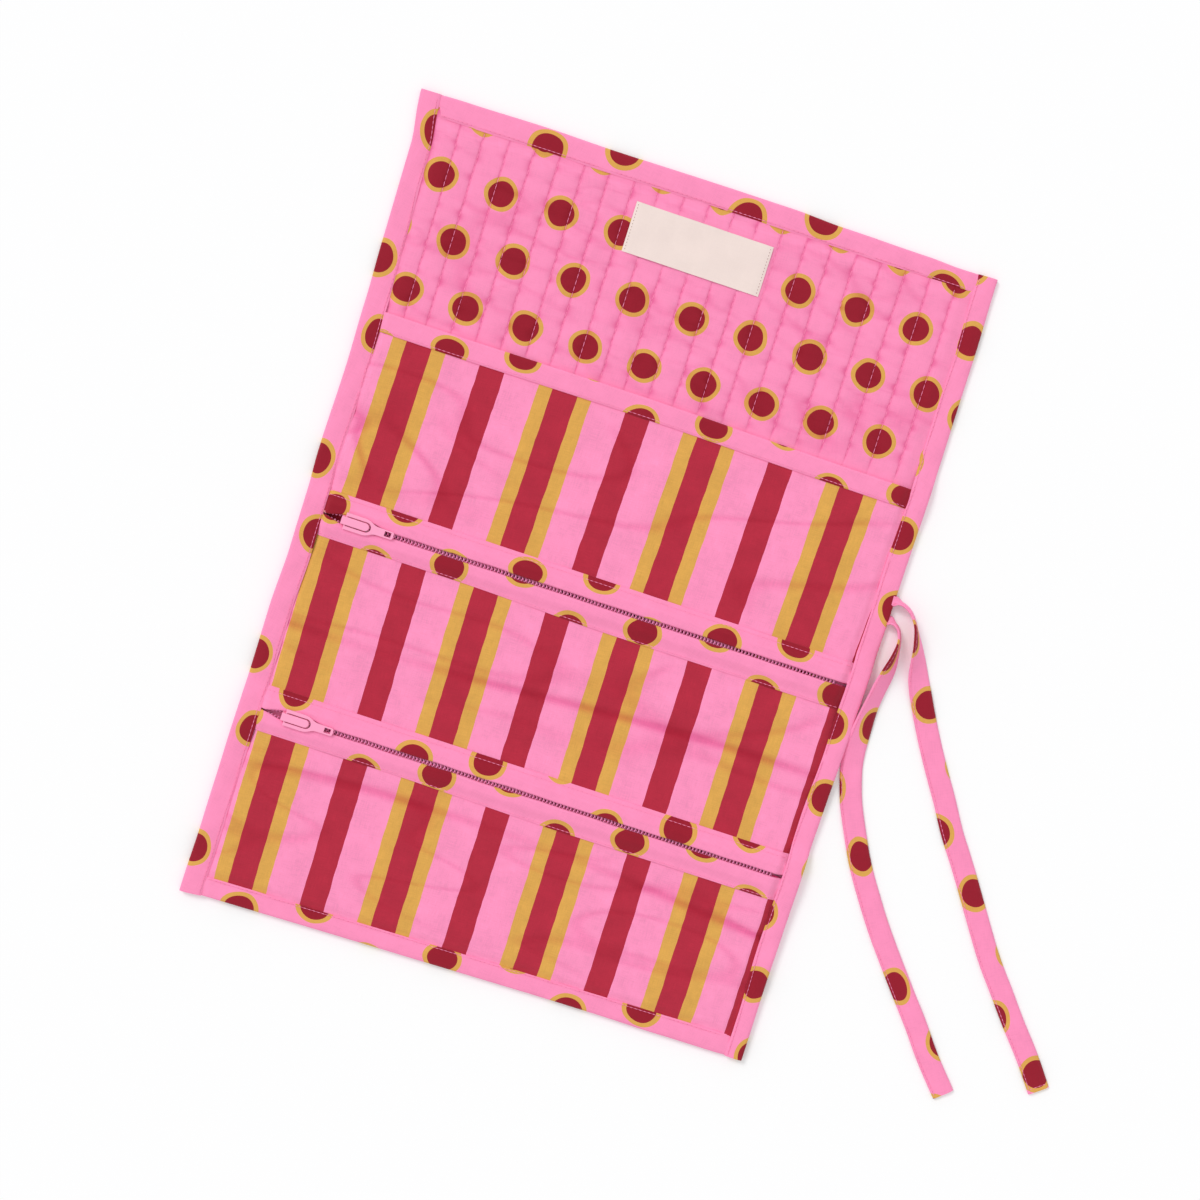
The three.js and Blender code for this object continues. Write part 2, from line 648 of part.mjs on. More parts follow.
// A section with a zip pocket. Its side bindings rise where the zip's ends run under them.
function zipSection(number, foldY, section, frontFoot) {
  const zipY = foldY - zipBelowFold;
  const footY = section.bottomBound ? bottomY + bindingWidth + pinchRun : section.low;
  const kneeY = mix(zipY - bandBelowZip, footY, frontKneeShare);
  const name = `pocket_${number + 1}`;
  const body = new THREE.Group();
  body.add(...quiltedSection(name, section));
  body.add(...zipPieces(number, zipY, foldY, kneeY, frontFoot));
  const lowEnd = section.bottomBound
    ? { at: bottomY, low: pocketEdgeLow }
    : { at: section.low + foldGap / 2, slope: seamSlope, low: pocketEdgeLow };
  const topLine = [
    lowEnd,
    { at: kneeY, slope: seamSlope, low: frontEdgeLow },
    { at: zipY - bandBelowZip, slope: seamSlope, low: mix(frontEdgeLow, lipEdgeLow, bindingRiseShare) },
    { at: zipY - tapeReach, slope: seamSlope, low: lipEdgeLow },
    { at: zipY + tapeReach, slope: seamSlope, low: lipEdgeLow },
    { at: foldY - foldGap / 2, slope: seamSlope, low: frontEdgeLow },
  ];
  body.add(finish(`${name}_binding_left`, sideBinding(-1, topLine), pink));
  body.add(finish(`${name}_binding_right`, sideBinding(1, topLine), pink));
  body.add(zipHardware(number, zipY));
  return body;
}

function pocket2Section() {
  const section = { low: pocket3FoldY, lowSlope: seamSlope, high: pocket2FoldY, highSlope: seamSlope };
  return zipSection(1, pocket2FoldY, section, () => [[pocket3FoldY + foldGap / 2, pocketLow]]);
}

function pocket3Section() {
  const section = { bottomBound: true, high: pocket3FoldY, highSlope: seamSlope };
  const gripY = bottomY + bindingWidth - plyGap;
  const body = zipSection(2, pocket3FoldY, section, (x) => [
    [bottomY + cloth + plyGap - seamShift(x), edgeLow, edgeLow],
    [gripY - seamShift(x), edgeLow, edgeLow],
    [gripY + pinchRun - seamShift(x), pocketLow],
  ]);
  body.add(finish('binding_bottom', endBinding(-1, pocketEdgeLow), pink));
  return body;
}

const roll = new THREE.Group();
roll.add(flap(), pocket1Section(), pocket2Section(), pocket3Section());

export default roll;
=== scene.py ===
"""The looks of an open quilted jewelry roll: printed cotton, quilting, zips, a bare label and two ties.

Shapes are worked out in millimetres as whole arrays and become metres when a mesh is made. X runs across
the panel, Y up its length and Z up from the table. Every cloth piece carries a UV map named cloth, in
millimetres of cloth, and its print follows that map, so that it stays put when the piece folds.
"""

import math
from functools import partial

import bpy
import numpy as np
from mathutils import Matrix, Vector


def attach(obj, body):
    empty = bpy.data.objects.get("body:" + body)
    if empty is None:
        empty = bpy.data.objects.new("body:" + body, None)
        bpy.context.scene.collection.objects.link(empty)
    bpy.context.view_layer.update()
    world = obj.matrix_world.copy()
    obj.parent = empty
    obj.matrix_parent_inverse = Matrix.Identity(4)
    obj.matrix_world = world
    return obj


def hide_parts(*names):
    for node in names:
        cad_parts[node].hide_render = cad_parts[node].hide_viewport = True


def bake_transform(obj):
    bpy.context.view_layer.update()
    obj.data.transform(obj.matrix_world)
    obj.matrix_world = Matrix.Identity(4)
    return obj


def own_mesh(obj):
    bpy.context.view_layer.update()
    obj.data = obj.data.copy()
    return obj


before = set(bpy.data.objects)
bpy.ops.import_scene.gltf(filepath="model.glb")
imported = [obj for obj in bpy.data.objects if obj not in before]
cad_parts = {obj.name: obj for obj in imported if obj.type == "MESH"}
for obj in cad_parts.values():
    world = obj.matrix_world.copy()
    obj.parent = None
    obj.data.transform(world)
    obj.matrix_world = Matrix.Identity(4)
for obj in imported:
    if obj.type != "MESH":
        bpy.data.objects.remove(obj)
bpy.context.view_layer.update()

MM = 0.001

# The panel, as in the model that it dresses
PANEL_WIDTH = 248
PANEL_LENGTH = 344
SIDE_X = PANEL_WIDTH / 2
TOP_Y = PANEL_LENGTH / 2
BINDING_WIDTH = 8.5
BINDING_INNER_X = SIDE_X - BINDING_WIDTH
SEAM_SLOPE = -0.0155
POCKET_2_FOLD_Y = 5.2
POCKET_3_FOLD_Y = -80.0
ZIP_DROP = 10.2
ZIP_Y = {1: POCKET_2_FOLD_Y - ZIP_DROP, 2: POCKET_3_FOLD_Y - ZIP_DROP}
MOUTH_Y = 81.0
MOUTH_BAND_WIDTH = 8.5
MOUTH_DEPTH = 1.7
CLOTH = 0.4

# How far the quilt and the pockets' cloth reach to each side, and how far inside the panel's ends they stop
REACH_X = 123.4
END_INSET = 0.6

# Quilting
QUILT_PITCH = 10.65
FIRST_LINE_X = QUILT_PITCH - BINDING_INNER_X
LINE_COUNT = 21
HALF_CHANNEL_COLUMNS = 7

# Levels above the table
LINING_TOP = 2.5
LINING_SEAM = 2.15
LINING_GRIPPED = 1.7
SHELL_GRIPPED = 0.6
POCKET_LOW = 2.7
TAPE_LOW = 3.4
FOOT_LOW = 3.1
FOOT_BEND = 4.25
COIL_MIDDLE = 4.4
FRONT_LAP = 3.95
FRONT_RISE = 3.575
BAND_LOW = 4.37
LIP_LOW = 5.75
BAND_THICKNESS = 0.45
TAPE_THICKNESS = 0.35
MOUTH_TOP = 4.3
LABEL_LEVEL = 3.08
EDGE_LOW = 1.8
PRESS_SHARE = 0.7

# Where the side bindings begin to press the pockets and the quilt, and from where on they hold them
OPEN_X = 112.5
QUILT_OPEN_X = 111.1
PINCHED_X = 115.2
# The same at the panel's ends, as distances from the end
GRIP_FROM = {"top": 12.2, "bottom": 11.5, "shell": 12.0}
GRIPPED = 8.8
FRONT_GRIPPED = 8.6

# Where the quilt and the side bindings are split, half way between the folds
SPLIT_Y = (50.0, -37.4)
# How far a pocket's foot runs under the band that is sewn over it
SEAM_LAP = 1.3

# The panel's stretches, each across one fold: where it starts and ends, its fold and its sections
STRETCHES = {
    "upper": (TOP_Y, SPLIT_Y[0], "flap", ("flap", "pocket_1")),
    "middle": (SPLIT_Y[0], SPLIT_Y[1], "pocket_2", ("pocket_1", "pocket_2")),
    "lower": (SPLIT_Y[1], -TOP_Y, "pocket_3", ("pocket_2", "pocket_3")),
}
SIDES = ((1, "upper"), (-1, "lower"))

# The label, with its middle and its slope
LABEL_X = 2.5
LABEL_Y = 145.8
LABEL_WIDTH = 59
LABEL_HEIGHT = 21
LABEL_THICKNESS = 0.3
LABEL_TILT = 0.012

# Ties, in millimetres along the routes of their solids
TIE_WIDTH = 9.4
TIE_THICKNESS = 1.2
TIE_ROUTES = {
    "tie_outer": [
        (124.3, 33, 2.42), (127.6, 33, 2.42), (132.2, 31.2, 2.42), (136.2, 26.4, 2.42), (139.2, 19.8, 2.42),
        (142.2, 12.2, 2.42), (145.4, 4.6, 1.8), (150.6, -5.3, 1.1), (157.4, -17.3, 0.8), (164.8, -29.3, 0.8),
        (172.5, -41.1, 0.8), (179.9, -53.1, 0.8), (188.3, -64.8, 0.8), (196.4, -76.7, 0.8),
        (204.4, -88.6, 0.8), (212.7, -100.5, 0.8), (222.1, -112.2, 0.8), (231.5, -123.9, 0.8),
        (241.3, -135.4, 0.8), (251.2, -148.4, 0.8),
    ],
    "tie_inner": [
        (124.3, 24.4, 0.8), (126.8, 24.4, 0.8), (130, 22.6, 0.8), (132, 18.2, 0.8), (132.4, 12, 0.8),
        (131.8, 4, 0.8), (130.4, -5, 0.8), (129.3, -14, 0.8), (129.1, -24, 0.8), (129.4, -33, 0.8),
        (130.8, -41, 0.8), (134.7, -53, 0.8), (140.6, -65.5, 0.8), (147.1, -77.8, 0.8), (154.8, -89.7, 0.8),
        (163.2, -101.6, 0.8), (172.3, -113.2, 0.8), (181.7, -124.8, 0.8), (191.3, -136.4, 0.8),
        (200.4, -148.2, 0.8), (212.4, -162, 0.8),
    ],
}


def dyed(red, green, blue):
    """A colour as it is seen, from 0 to 255, turned into the linear colour that a shader takes."""
    seen = np.array([red, green, blue]) / 255
    linear = np.where(seen <= 0.04045, seen / 12.92, ((seen + 0.055) / 1.055) ** 2.4)
    return (*linear.tolist(), 1.0)


PINK = dyed(255, 147, 191)
STRIPE_PINK = dyed(255, 149, 193)
HOLE_SHADE_PINK = dyed(238, 112, 164)
RED = dyed(152, 25, 44)
STRIPE_RED = dyed(182, 42, 64)
MUSTARD = dyed(223, 168, 82)
CREAM = dyed(243, 224, 217)
THREAD_PINK = dyed(255, 150, 190)
GREY_BROWN = dyed(178, 146, 138)
TOOTH = dyed(255, 158, 206)
TAPE = dyed(250, 52, 128)
PAINTED = dyed(255, 160, 198)
WHITE = (1.0, 1.0, 1.0, 1.0)
TABLE_WHITE = (0.985, 0.985, 0.988, 1.0)
# Painted shade in folds and grooves: what it leaves of each colour, least of the green, so that pink grows
# deeper and not grey
PAINTED_FOLD_SHADE = (0.84, 0.50, 0.66, 1.0)


# Small numeric helpers
def ramp(value, start, end):
    """The share of the way from start to end, held between 0 and 1."""
    return np.clip((value - start) / (end - start), 0, 1)


def smooth(value, start, end):
    """The same share, eased at both ends: 3 s^2 - 2 s^3."""
    share = ramp(value, start, end)
    return share * share * (3 - 2 * share)


def mix(a, b, share):
    """The value that lies the given share of the way from a to b."""
    return a + (b - a) * share


def soft_line(value, places, heights):
    """A line through places and heights that levels off at each: a smooth step from one to the next."""
    found = np.full(np.shape(value), float(heights[0]))
    for k in range(len(places) - 1):
        found = found + (heights[k + 1] - heights[k]) * smooth(value, places[k], places[k + 1])
    return found


def waves(x, y, seed, long_x, long_y, count=7):
    """A smooth random height from about -1 to 1: a sum of sines of random direction, length and start."""
    random = np.random.default_rng(seed)
    total = np.zeros(np.broadcast(x, y).shape)
    for _ in range(count):
        angle = random.uniform(0, 2 * math.pi)
        length = random.uniform(0.7, 1.6)
        start = random.uniform(0, 2 * math.pi)
        along = np.cos(angle) * x / long_x + np.sin(angle) * y / long_y
        total = total + np.sin(2 * math.pi * along / length + start)
    return total / math.sqrt(count)


def wander(x, seed, length):
    """The same sum of sines along one line."""
    return waves(x, x * 0, seed, length, 1)


def unit(vectors):
    """Each vector divided by its length."""
    return vectors / np.linalg.norm(vectors, axis=1, keepdims=True)


def distances_along(line):
    """How far along a line each of its points lies: the sum of the steps before it."""
    return np.concatenate([[0], np.cumsum(np.linalg.norm(np.diff(line, axis=0), axis=1))])


def seam_shift(x):
    """How far the sewn seams rise or fall across the panel: in proportion to X."""
    return SEAM_SLOPE * x


def above_chain(number, x, y):
    """How far above a zip's chain a place lies."""
    return y - seam_shift(x) - ZIP_Y[number]


# How far each edge of the panel lies from a straight line: first the place along it, then the shift
LEFT_EDGE = (
    (-172, 0.4), (-140, 1.1), (-110, 1.4), (-80, 1.9), (-48, 2.0), (-20, 3.1), (0, 3.2), (20, 2.6),
    (60, 3.4), (84, 3.2), (110, 2.7), (150, 2.4), (172, 0),
)
RIGHT_EDGE = ((-172, 0.8), (-140, 0.4), (-80, 0.5), (-20, 1.2), (30, 1.5), (80, 1.7), (136, 1.2), (172, 0.3))
TOP_EDGE = (
    (-124, 0.9), (-104, 1.3), (-70, 1.7), (-40, 1.3), (0, 1.5), (34, 1.4), (58, 0.5), (94, 0), (108, -0.6),
    (124, -0.3),
)
BOTTOM_EDGE = ((-124, -0.8), (-112, -0.2), (-50, 0), (34, 0.1), (58, -0.1), (84, -0.6), (124, -0.9))
# Where a side's or an end's wavy line has died out, and from where on it is followed whole
SIDE_ZONE = (SIDE_X - 27, SIDE_X - 8)
END_ZONE = (TOP_Y - 10, TOP_Y - 3)


def settled(x, y):
    """The panel as it lies: each edge follows its own wavy line, and the shift dies out on the way in."""
    left = soft_line(y, *zip(*LEFT_EDGE)) * smooth(-x, *SIDE_ZONE)
    right = soft_line(y, *zip(*RIGHT_EDGE)) * smooth(x, *SIDE_ZONE)
    top = soft_line(x, *zip(*TOP_EDGE)) * smooth(y, *END_ZONE)
    bottom = soft_line(x, *zip(*BOTTOM_EDGE)) * smooth(-y, *END_ZONE)
    return x + left + right, y + top + bottom


def settled_points(x, y, z):
    """Points at the given heights on the panel as it lies."""
    return np.stack(settled(x, y) + (z,), axis=-1)


# Making meshes
def add_mesh(name, points, faces, uv, material, sharp=50):
    """A mesh from points in millimetres and groups of faces, each an array with one row for each face."""
    points = np.asarray(points, float)
    mesh = bpy.data.meshes.new(name)
    mesh.vertices.add(len(points))
    mesh.vertices.foreach_set("co", (points * MM).astype(np.float32).ravel())
    corners = np.concatenate([group.ravel() for group in faces]).astype(np.int32)
    sizes = np.concatenate([np.full(len(group), group.shape[1]) for group in faces])
    mesh.loops.add(len(corners))
    mesh.loops.foreach_set("vertex_index", corners)
    mesh.polygons.add(len(sizes))
    mesh.polygons.foreach_set("loop_start", np.concatenate([[0], np.cumsum(sizes)[:-1]]).astype(np.int32))
    mesh.update(calc_edges=True)
    mesh.polygons.foreach_set("use_smooth", np.ones(len(sizes), bool))
    if uv is not None:
        layer = mesh.uv_layers.new(name="cloth")
        layer.data.foreach_set("uv", np.asarray(uv, float)[corners].astype(np.float32).ravel())
    mesh.set_sharp_from_angle(angle=math.radians(sharp))
    mesh.materials.append(material)
    piece = bpy.data.objects.new(name, mesh)
    bpy.context.scene.collection.objects.link(piece)
    return piece


def grid_faces(rows, columns, first=0):
    """Quads between the points of a grid, facing up where rows run along X and columns along Y."""
    corner = first + np.arange(rows * columns).reshape(rows, columns)
    quads = np.stack([corner[:-1, :-1], corner[1:, :-1], corner[1:, 1:], corner[:-1, 1:]], axis=-1)
    return quads.reshape(-1, 4)


def closed_sheet(name, x, y, top, low, uv, material, shade=None):
    """A closed sheet: one grid for its top, one for its underside, and a wall round the edge between them.
    shade says how much painted shade darkens the cloth's colour at each point of the top, deepest in its
    folds."""
    rows, columns = x.shape
    count = rows * columns
    points = np.concatenate([settled_points(x, y, z).reshape(-1, 3) for z in (top, low)])
    corner = np.arange(count).reshape(rows, columns)
    rim = np.concatenate([corner[:, 0], corner[-1, 1:], corner[-2::-1, -1], corner[0, -2:0:-1]])
    after = np.roll(rim, -1)
    wall = np.stack([rim, rim + count, after + count, after], axis=-1)
    faces = [grid_faces(rows, columns), grid_faces(rows, columns, count)[:, ::-1], wall]
    piece = add_mesh(name, points, faces, np.tile(uv.reshape(-1, 2), (2, 1)), material)
    if shade is not None:
        shades = np.concatenate([np.clip(shade.ravel(), 0, 1), np.zeros(count)]).astype(np.float32)
        piece.data.attributes.new("painted_fold_shade", "FLOAT", "POINT").data.foreach_set("value", shades)
    return piece


def tube(name, rings, uv, material, sharp=50):
    """A closed body through rings of points, with a fan of triangles over each end."""
    count, sides = rings.shape[:2]
    corner = np.arange(count * sides).reshape(count, sides)
    beside = np.roll(corner, -1, axis=1)
    wall = np.stack([corner[:-1], beside[:-1], beside[1:], corner[1:]], axis=-1).reshape(-1, 4)
    first = np.full(sides, count * sides)
    caps = np.concatenate([
        np.stack([first, beside[0], corner[0]], axis=-1),
        np.stack([first + 1, corner[-1], beside[-1]], axis=-1),
    ])
    points = np.concatenate([rings.reshape(-1, 3), [rings[0].mean(0), rings[-1].mean(0)]])
    flat = np.concatenate([uv.reshape(-1, 2), [uv[0].mean(0), uv[-1].mean(0)]])
    return add_mesh(name, points, [wall, caps], flat, material, sharp)


def joined(name, pieces):
    """One piece from several."""
    with bpy.context.temp_override(
        active_object=pieces[0], object=pieces[0], selected_objects=pieces, selected_editable_objects=pieces
    ):
        bpy.ops.object.join()
    pieces[0].name = name
    pieces[0].data.name = name
    return pieces[0]


# Which body each piece moves with
def dress(piece, slot, *nodes, body=None, fold=None):
    """Puts a piece on its body, or bakes its place into its mesh where it lies across a fold, and hides its
    nodes.
    slot is not used."""
    if fold is None:
        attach(piece, body)
    else:
        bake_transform(piece)
    if nodes:
        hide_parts(*nodes)


# Shader trees
def put(tree, kind, inputs=None, **settings):
    """A node with its settings, and its inputs linked or set by name or number."""
    node = tree.nodes.new(kind)
    for key, value in settings.items():
        setattr(node, key, value)
    for key, value in (inputs or {}).items():
        if isinstance(value, bpy.types.NodeSocket):
            tree.links.new(value, node.inputs[key])
        else:
            node.inputs[key].default_value = value
    return node


def calc(tree, operation, *values):
    """The result of one sum."""
    return put(tree, "ShaderNodeMath", dict(enumerate(values)), operation=operation).outputs[0]


def vector_calc(tree, operation, inputs):
    """The result of one sum on vectors."""
    return put(tree, "ShaderNodeVectorMath", inputs, operation=operation).outputs[0]


def noise(tree, place, scale, detail):
    """Soft noise: its first output is a number from 0 to 1, and its second a colour."""
    return put(tree, "ShaderNodeTexNoise", {"Vector": place, "Scale": scale, "Detail": detail}).outputs


def blend_color(tree, share, first, second, how="MIX"):
    """Two colours mixed by a share."""
    node = put(tree, "ShaderNodeMix", {0: share, 6: first, 7: second}, data_type="RGBA", blend_type=how)
    return node.outputs[2]


def shaded(tree, color, amount, strength):
    """A colour made lighter or darker: times 1 + amount x strength."""
    shade = calc(tree, "ADD", calc(tree, "MULTIPLY", amount, strength), 1.0)
    grey = put(tree, "ShaderNodeCombineColor", {0: shade, 1: shade, 2: shade}).outputs[0]
    return blend_color(tree, 1.0, color, grey, "MULTIPLY")


def new_material(name):
    """A material with an empty tree."""
    material = bpy.data.materials.new(name)
    material.use_nodes = True
    material.node_tree.nodes.clear()
    return material, material.node_tree


def principled(tree, sockets):
    """The surface, with its sockets linked or set."""
    shader = put(tree, "ShaderNodeBsdfPrincipled", sockets)
    put(tree, "ShaderNodeOutputMaterial", {0: shader.outputs[0]})


def shader_group(name, values, results):
    """An empty node group that takes the place on the cloth and named values, and gives named numbers."""
    tree = bpy.data.node_groups.new(name, "ShaderNodeTree")
    tree.interface.new_socket("Cloth", in_out="INPUT", socket_type="NodeSocketVector")
    for label, value in values.items():
        socket = tree.interface.new_socket(label, in_out="INPUT", socket_type="NodeSocketFloat")
        socket.default_value = value
    for label in results:
        tree.interface.new_socket(label, in_out="OUTPUT", socket_type="NodeSocketFloat")
    return tree, tree.nodes.new("NodeGroupInput").outputs, tree.nodes.new("NodeGroupOutput").inputs


def weave_group():
    """Plain weave: warp and weft cross over and under in a checker, with slubs that thicken some threads."""
    tree, given, out = shader_group("plain_weave", {"Thread": 0.32}, ("Height", "Mottle"))
    place = put(tree, "ShaderNodeSeparateXYZ", {0: given["Cloth"]}).outputs
    turns = [calc(tree, "DIVIDE", place[k], given["Thread"]) for k in (0, 1)]
    swings = [calc(tree, "SINE", calc(tree, "MULTIPLY", turn, math.pi)) for turn in turns]
    ridges = [calc(tree, "ABSOLUTE", swing) for swing in swings]
    cells = calc(tree, "ADD", calc(tree, "FLOOR", turns[0]), calc(tree, "FLOOR", turns[1]))
    over = calc(tree, "FLOORED_MODULO", cells, 2.0)
    height = put(tree, "ShaderNodeMix", {0: over, 2: ridges[0], 3: ridges[1]}, data_type="FLOAT").outputs[0]
    total = noise(tree, given["Cloth"], 0.11, 3.0)[0]
    for stretch in ((3.2, 0.22, 1), (0.22, 3.2, 1)):
        stretched = vector_calc(tree, "MULTIPLY", {0: given["Cloth"], 1: stretch})
        total = calc(tree, "ADD", total, noise(tree, stretched, 1.0, 2.0)[0])
    tree.links.new(height, out["Height"])
    tree.links.new(calc(tree, "SUBTRACT", total, 1.5), out["Mottle"])
    return tree


def dots_group():
    """Rows of dots: the distance to the nearest dot. Each next row lies Gap along and Step up."""
    values = {"Pitch": 25.54, "Gap": 12.77, "Step": 24.2, "Wobble": 1.3}
    tree, given, out = shader_group("dot_rows", values, ("Distance",))
    color = noise(tree, given["Cloth"], 0.11, 0.0)[1]
    shaken = vector_calc(tree, "SUBTRACT", {0: color, 1: (0.5, 0.5, 0.5)})
    scaled = vector_calc(tree, "SCALE", {0: shaken, "Scale": given["Wobble"]})
    moved = vector_calc(tree, "ADD", {0: given["Cloth"], 1: scaled})
    place = put(tree, "ShaderNodeSeparateXYZ", {0: moved}).outputs
    half = calc(tree, "DIVIDE", given["Pitch"], 2.0)
    lowest = calc(tree, "MULTIPLY", half, -1.0)
    row = calc(tree, "ROUND", calc(tree, "DIVIDE", place[1], given["Step"]))
    nearest = None
    for beside in (-2, -1, 0, 1, 2):
        this_row = calc(tree, "ADD", row, float(beside))
        along = calc(tree, "SUBTRACT", place[0], calc(tree, "MULTIPLY", this_row, given["Gap"]))
        wrapped = calc(tree, "WRAP", along, half, lowest)
        across = calc(tree, "SUBTRACT", place[1], calc(tree, "MULTIPLY", this_row, given["Step"]))
        squares = [calc(tree, "MULTIPLY", value, value) for value in (wrapped, across)]
        distance = calc(tree, "SQRT", calc(tree, "ADD", *squares))
        nearest = distance if nearest is None else calc(tree, "MINIMUM", nearest, distance)
    tree.links.new(nearest, out["Distance"])
    return tree


def stripes_group():
    """Broad stripes along the cloth: red ones, every other one between mustard ones, all a little wavy."""
    values = {"Period": 62.6, "Red Half": 5.3, "Mustard": 6.0, "Waviness": 0.9}
    tree, given, out = shader_group("broad_stripes", values, ("Red", "Mustard"))
    swing = calc(tree, "SUBTRACT", noise(tree, given["Cloth"], 0.1, 2.0)[0], 0.5)
    place = put(tree, "ShaderNodeSeparateXYZ", {0: given["Cloth"]}).outputs
    across = calc(tree, "ADD", place[0], calc(tree, "MULTIPLY", swing, given["Waviness"]))
    half = calc(tree, "DIVIDE", given["Period"], 2.0)
    lowest = calc(tree, "MULTIPLY", half, -1.0)
    flanked, bare = [
        calc(tree, "ABSOLUTE", calc(tree, "WRAP", place_across, half, lowest))
        for place_across in (across, calc(tree, "ADD", across, half))
    ]
    reds = [calc(tree, "LESS_THAN", middle, given["Red Half"]) for middle in (flanked, bare)]
    reach = calc(tree, "ADD", given["Red Half"], given["Mustard"])
    tree.links.new(calc(tree, "MAXIMUM", *reds), out["Red"])
    tree.links.new(calc(tree, "LESS_THAN", flanked, reach), out["Mustard"])
    return tree


WEAVE = weave_group()
DOTS = dots_group()
STRIPES = stripes_group()
DOT_RADIUS = 5.42
RING_RADIUS = 7.12


def dot_print(tree, cloth):
    """Red dots, each in a mustard ring, on pink."""
    distance = put(tree, "ShaderNodeGroup", {"Cloth": cloth}, node_tree=DOTS).outputs["Distance"]
    ringed = blend_color(tree, calc(tree, "LESS_THAN", distance, RING_RADIUS), PINK, MUSTARD)
    return blend_color(tree, calc(tree, "LESS_THAN", distance, DOT_RADIUS), ringed, RED)


def stripe_print(tree, cloth):
    """Red stripes over mustard ones, on pink."""
    stripes = put(tree, "ShaderNodeGroup", {"Cloth": cloth}, node_tree=STRIPES).outputs
    on_pink = blend_color(tree, stripes["Mustard"], STRIPE_PINK, MUSTARD)
    return blend_color(tree, stripes["Red"], on_pink, STRIPE_RED)


def plain_print(color, tree, cloth):
    """One colour, paler in faint clouds."""
    clouds = noise(tree, cloth, 0.5, 2.0)[0]
    return blend_color(tree, calc(tree, "MULTIPLY", clouds, 0.05), color, WHITE)


def cotton(name, pattern, thread=0.32, bump=0.05, mottle=0.16):
    """Printed plain-weave cotton. pattern takes the tree and the place on the cloth and gives a colour."""
    material, tree = new_material(name)
    cloth = put(tree, "ShaderNodeUVMap", uv_map="cloth").outputs[0]
    weave = put(tree, "ShaderNodeGroup", {"Cloth": cloth, "Thread": thread}, node_tree=WEAVE).outputs
    # Painted shade: the colour is darkened towards deeper pink in folds and grooves, as the
    # painted_fold_shade attribute says
    fold = put(tree, "ShaderNodeAttribute", attribute_name="painted_fold_shade").outputs["Fac"]
    painted_fold_color = blend_color(tree, fold, WHITE, PAINTED_FOLD_SHADE)
    printed = blend_color(tree, 1.0, pattern(tree, cloth), painted_fold_color, "MULTIPLY")
    normal = put(tree, "ShaderNodeBump", {"Height": weave["Height"], "Strength": 0.5, "Distance": bump * MM})
    principled(tree, {
        "Base Color": shaded(tree, printed, weave["Mottle"], mottle), "Roughness": 0.92,
        "Normal": normal.outputs[0], "Specular IOR Level": 0.2, "Sheen Weight": 0.12, "Sheen Roughness": 0.5,
    })
    return material


def plain_material(name, color, roughness, variation, coat=0.0, specular=0.5):
    """A finish of one colour with fine cloudy variation in its colour, roughness and surface."""
    material, tree = new_material(name)
    cloud = noise(tree, put(tree, "ShaderNodeTexCoord").outputs["Object"], 900.0, 3.0)[0]
    rough = calc(tree, "ADD", calc(tree, "MULTIPLY", cloud, 0.12), roughness - 0.06)
    normal = put(tree, "ShaderNodeBump", {"Height": cloud, "Strength": 0.25, "Distance": 0.02 * MM})
    principled(tree, {
        "Base Color": shaded(tree, color, calc(tree, "SUBTRACT", cloud, 0.5), variation), "Roughness": rough,
        "Coat Weight": coat, "Specular IOR Level": specular, "Normal": normal.outputs[0],
    })
    return material


DOTTED = cotton("dot_cotton", dot_print)
STRIPED = cotton("striped_cotton", stripe_print, mottle=0.26)
LABEL_CLOTH = cotton("label_cloth", partial(plain_print, CREAM), thread=0.45, bump=0.08, mottle=0.05)
TAPE_CLOTH = cotton("zip_tape_cloth", partial(plain_print, TAPE), thread=0.5, bump=0.1, mottle=0.1)
THREAD = plain_material("sewing_thread", THREAD_PINK, 0.8, 0.2, specular=0.15)
LABEL_THREAD = plain_material("label_thread", GREY_BROWN, 0.8, 0.3)
# Painted shade: small dark-pink marks between stitches stand for the shadow at each needle hole
NEEDLE_HOLE_SHADE = plain_material("needle_hole_shade", HOLE_SHADE_PINK, 0.9, 0.2)
COIL = plain_material("zip_coil", TOOTH, 0.6, 0.2, specular=0.15)
ZIP_PAINT = plain_material("painted_zip_metal", PAINTED, 0.38, 0.08, coat=0.3)


# Each strip is cut from the dotted cotton at a slant and pulled longer as it is sewn. For each one: a place
# along and across it where a dot lies, the slant in degrees, whether the strip is turned over, and how many
# times longer and wider than the cloth it came out.
STRIP_CUTS = {
    "top": (17.9, 163.7, 10.9, 1, 1.17, 0.97),
    "bottom": (77.4, -164.0, 6.7, 1, 1.188, 0.96),
    "left": (17.8, -122.9, 10.1, -1, 1.158, 0.94),
    "right": (29.7, 125.0, 12.05, -1, 1.147, 1.02),
    "mouth": (1.3, 72.6, 11.7, 1, 1.13, 0.86),
    "zip_1_upper": (61.2, 2.25, 11.0, 1, 1.162, 0.88),
    "zip_1_lower": (28.6, -5.05, 10.2, 1, 1.147, 1.0),
    "zip_2_upper": (38.1, -2.3, 11.95, 1, 1.15, 1.04),
    "zip_2_lower": (50.3, -5.05, 10.85, 1, 1.158, 0.98),
    "tie_outer": (133.3, -1.9, 10.5, -1, 1.136, 1.03),
    "tie_inner": (107.4, -1.1, 4.2, -1, 1.207, 0.88),
}


def cut_on_slant(strip, along, across):
    """Where a place on a strip lies in the cloth that it was cut from, with a dot at the cloth's origin."""
    dot_along, dot_across, slant, turned, longer, wider = STRIP_CUTS[strip]
    run = (along - dot_along) / longer
    side = turned * (across - dot_across) / wider
    sine, cosine = math.sin(math.radians(slant)), math.cos(math.radians(slant))
    return np.stack([run * sine + side * cosine, run * cosine - side * sine], axis=-1)


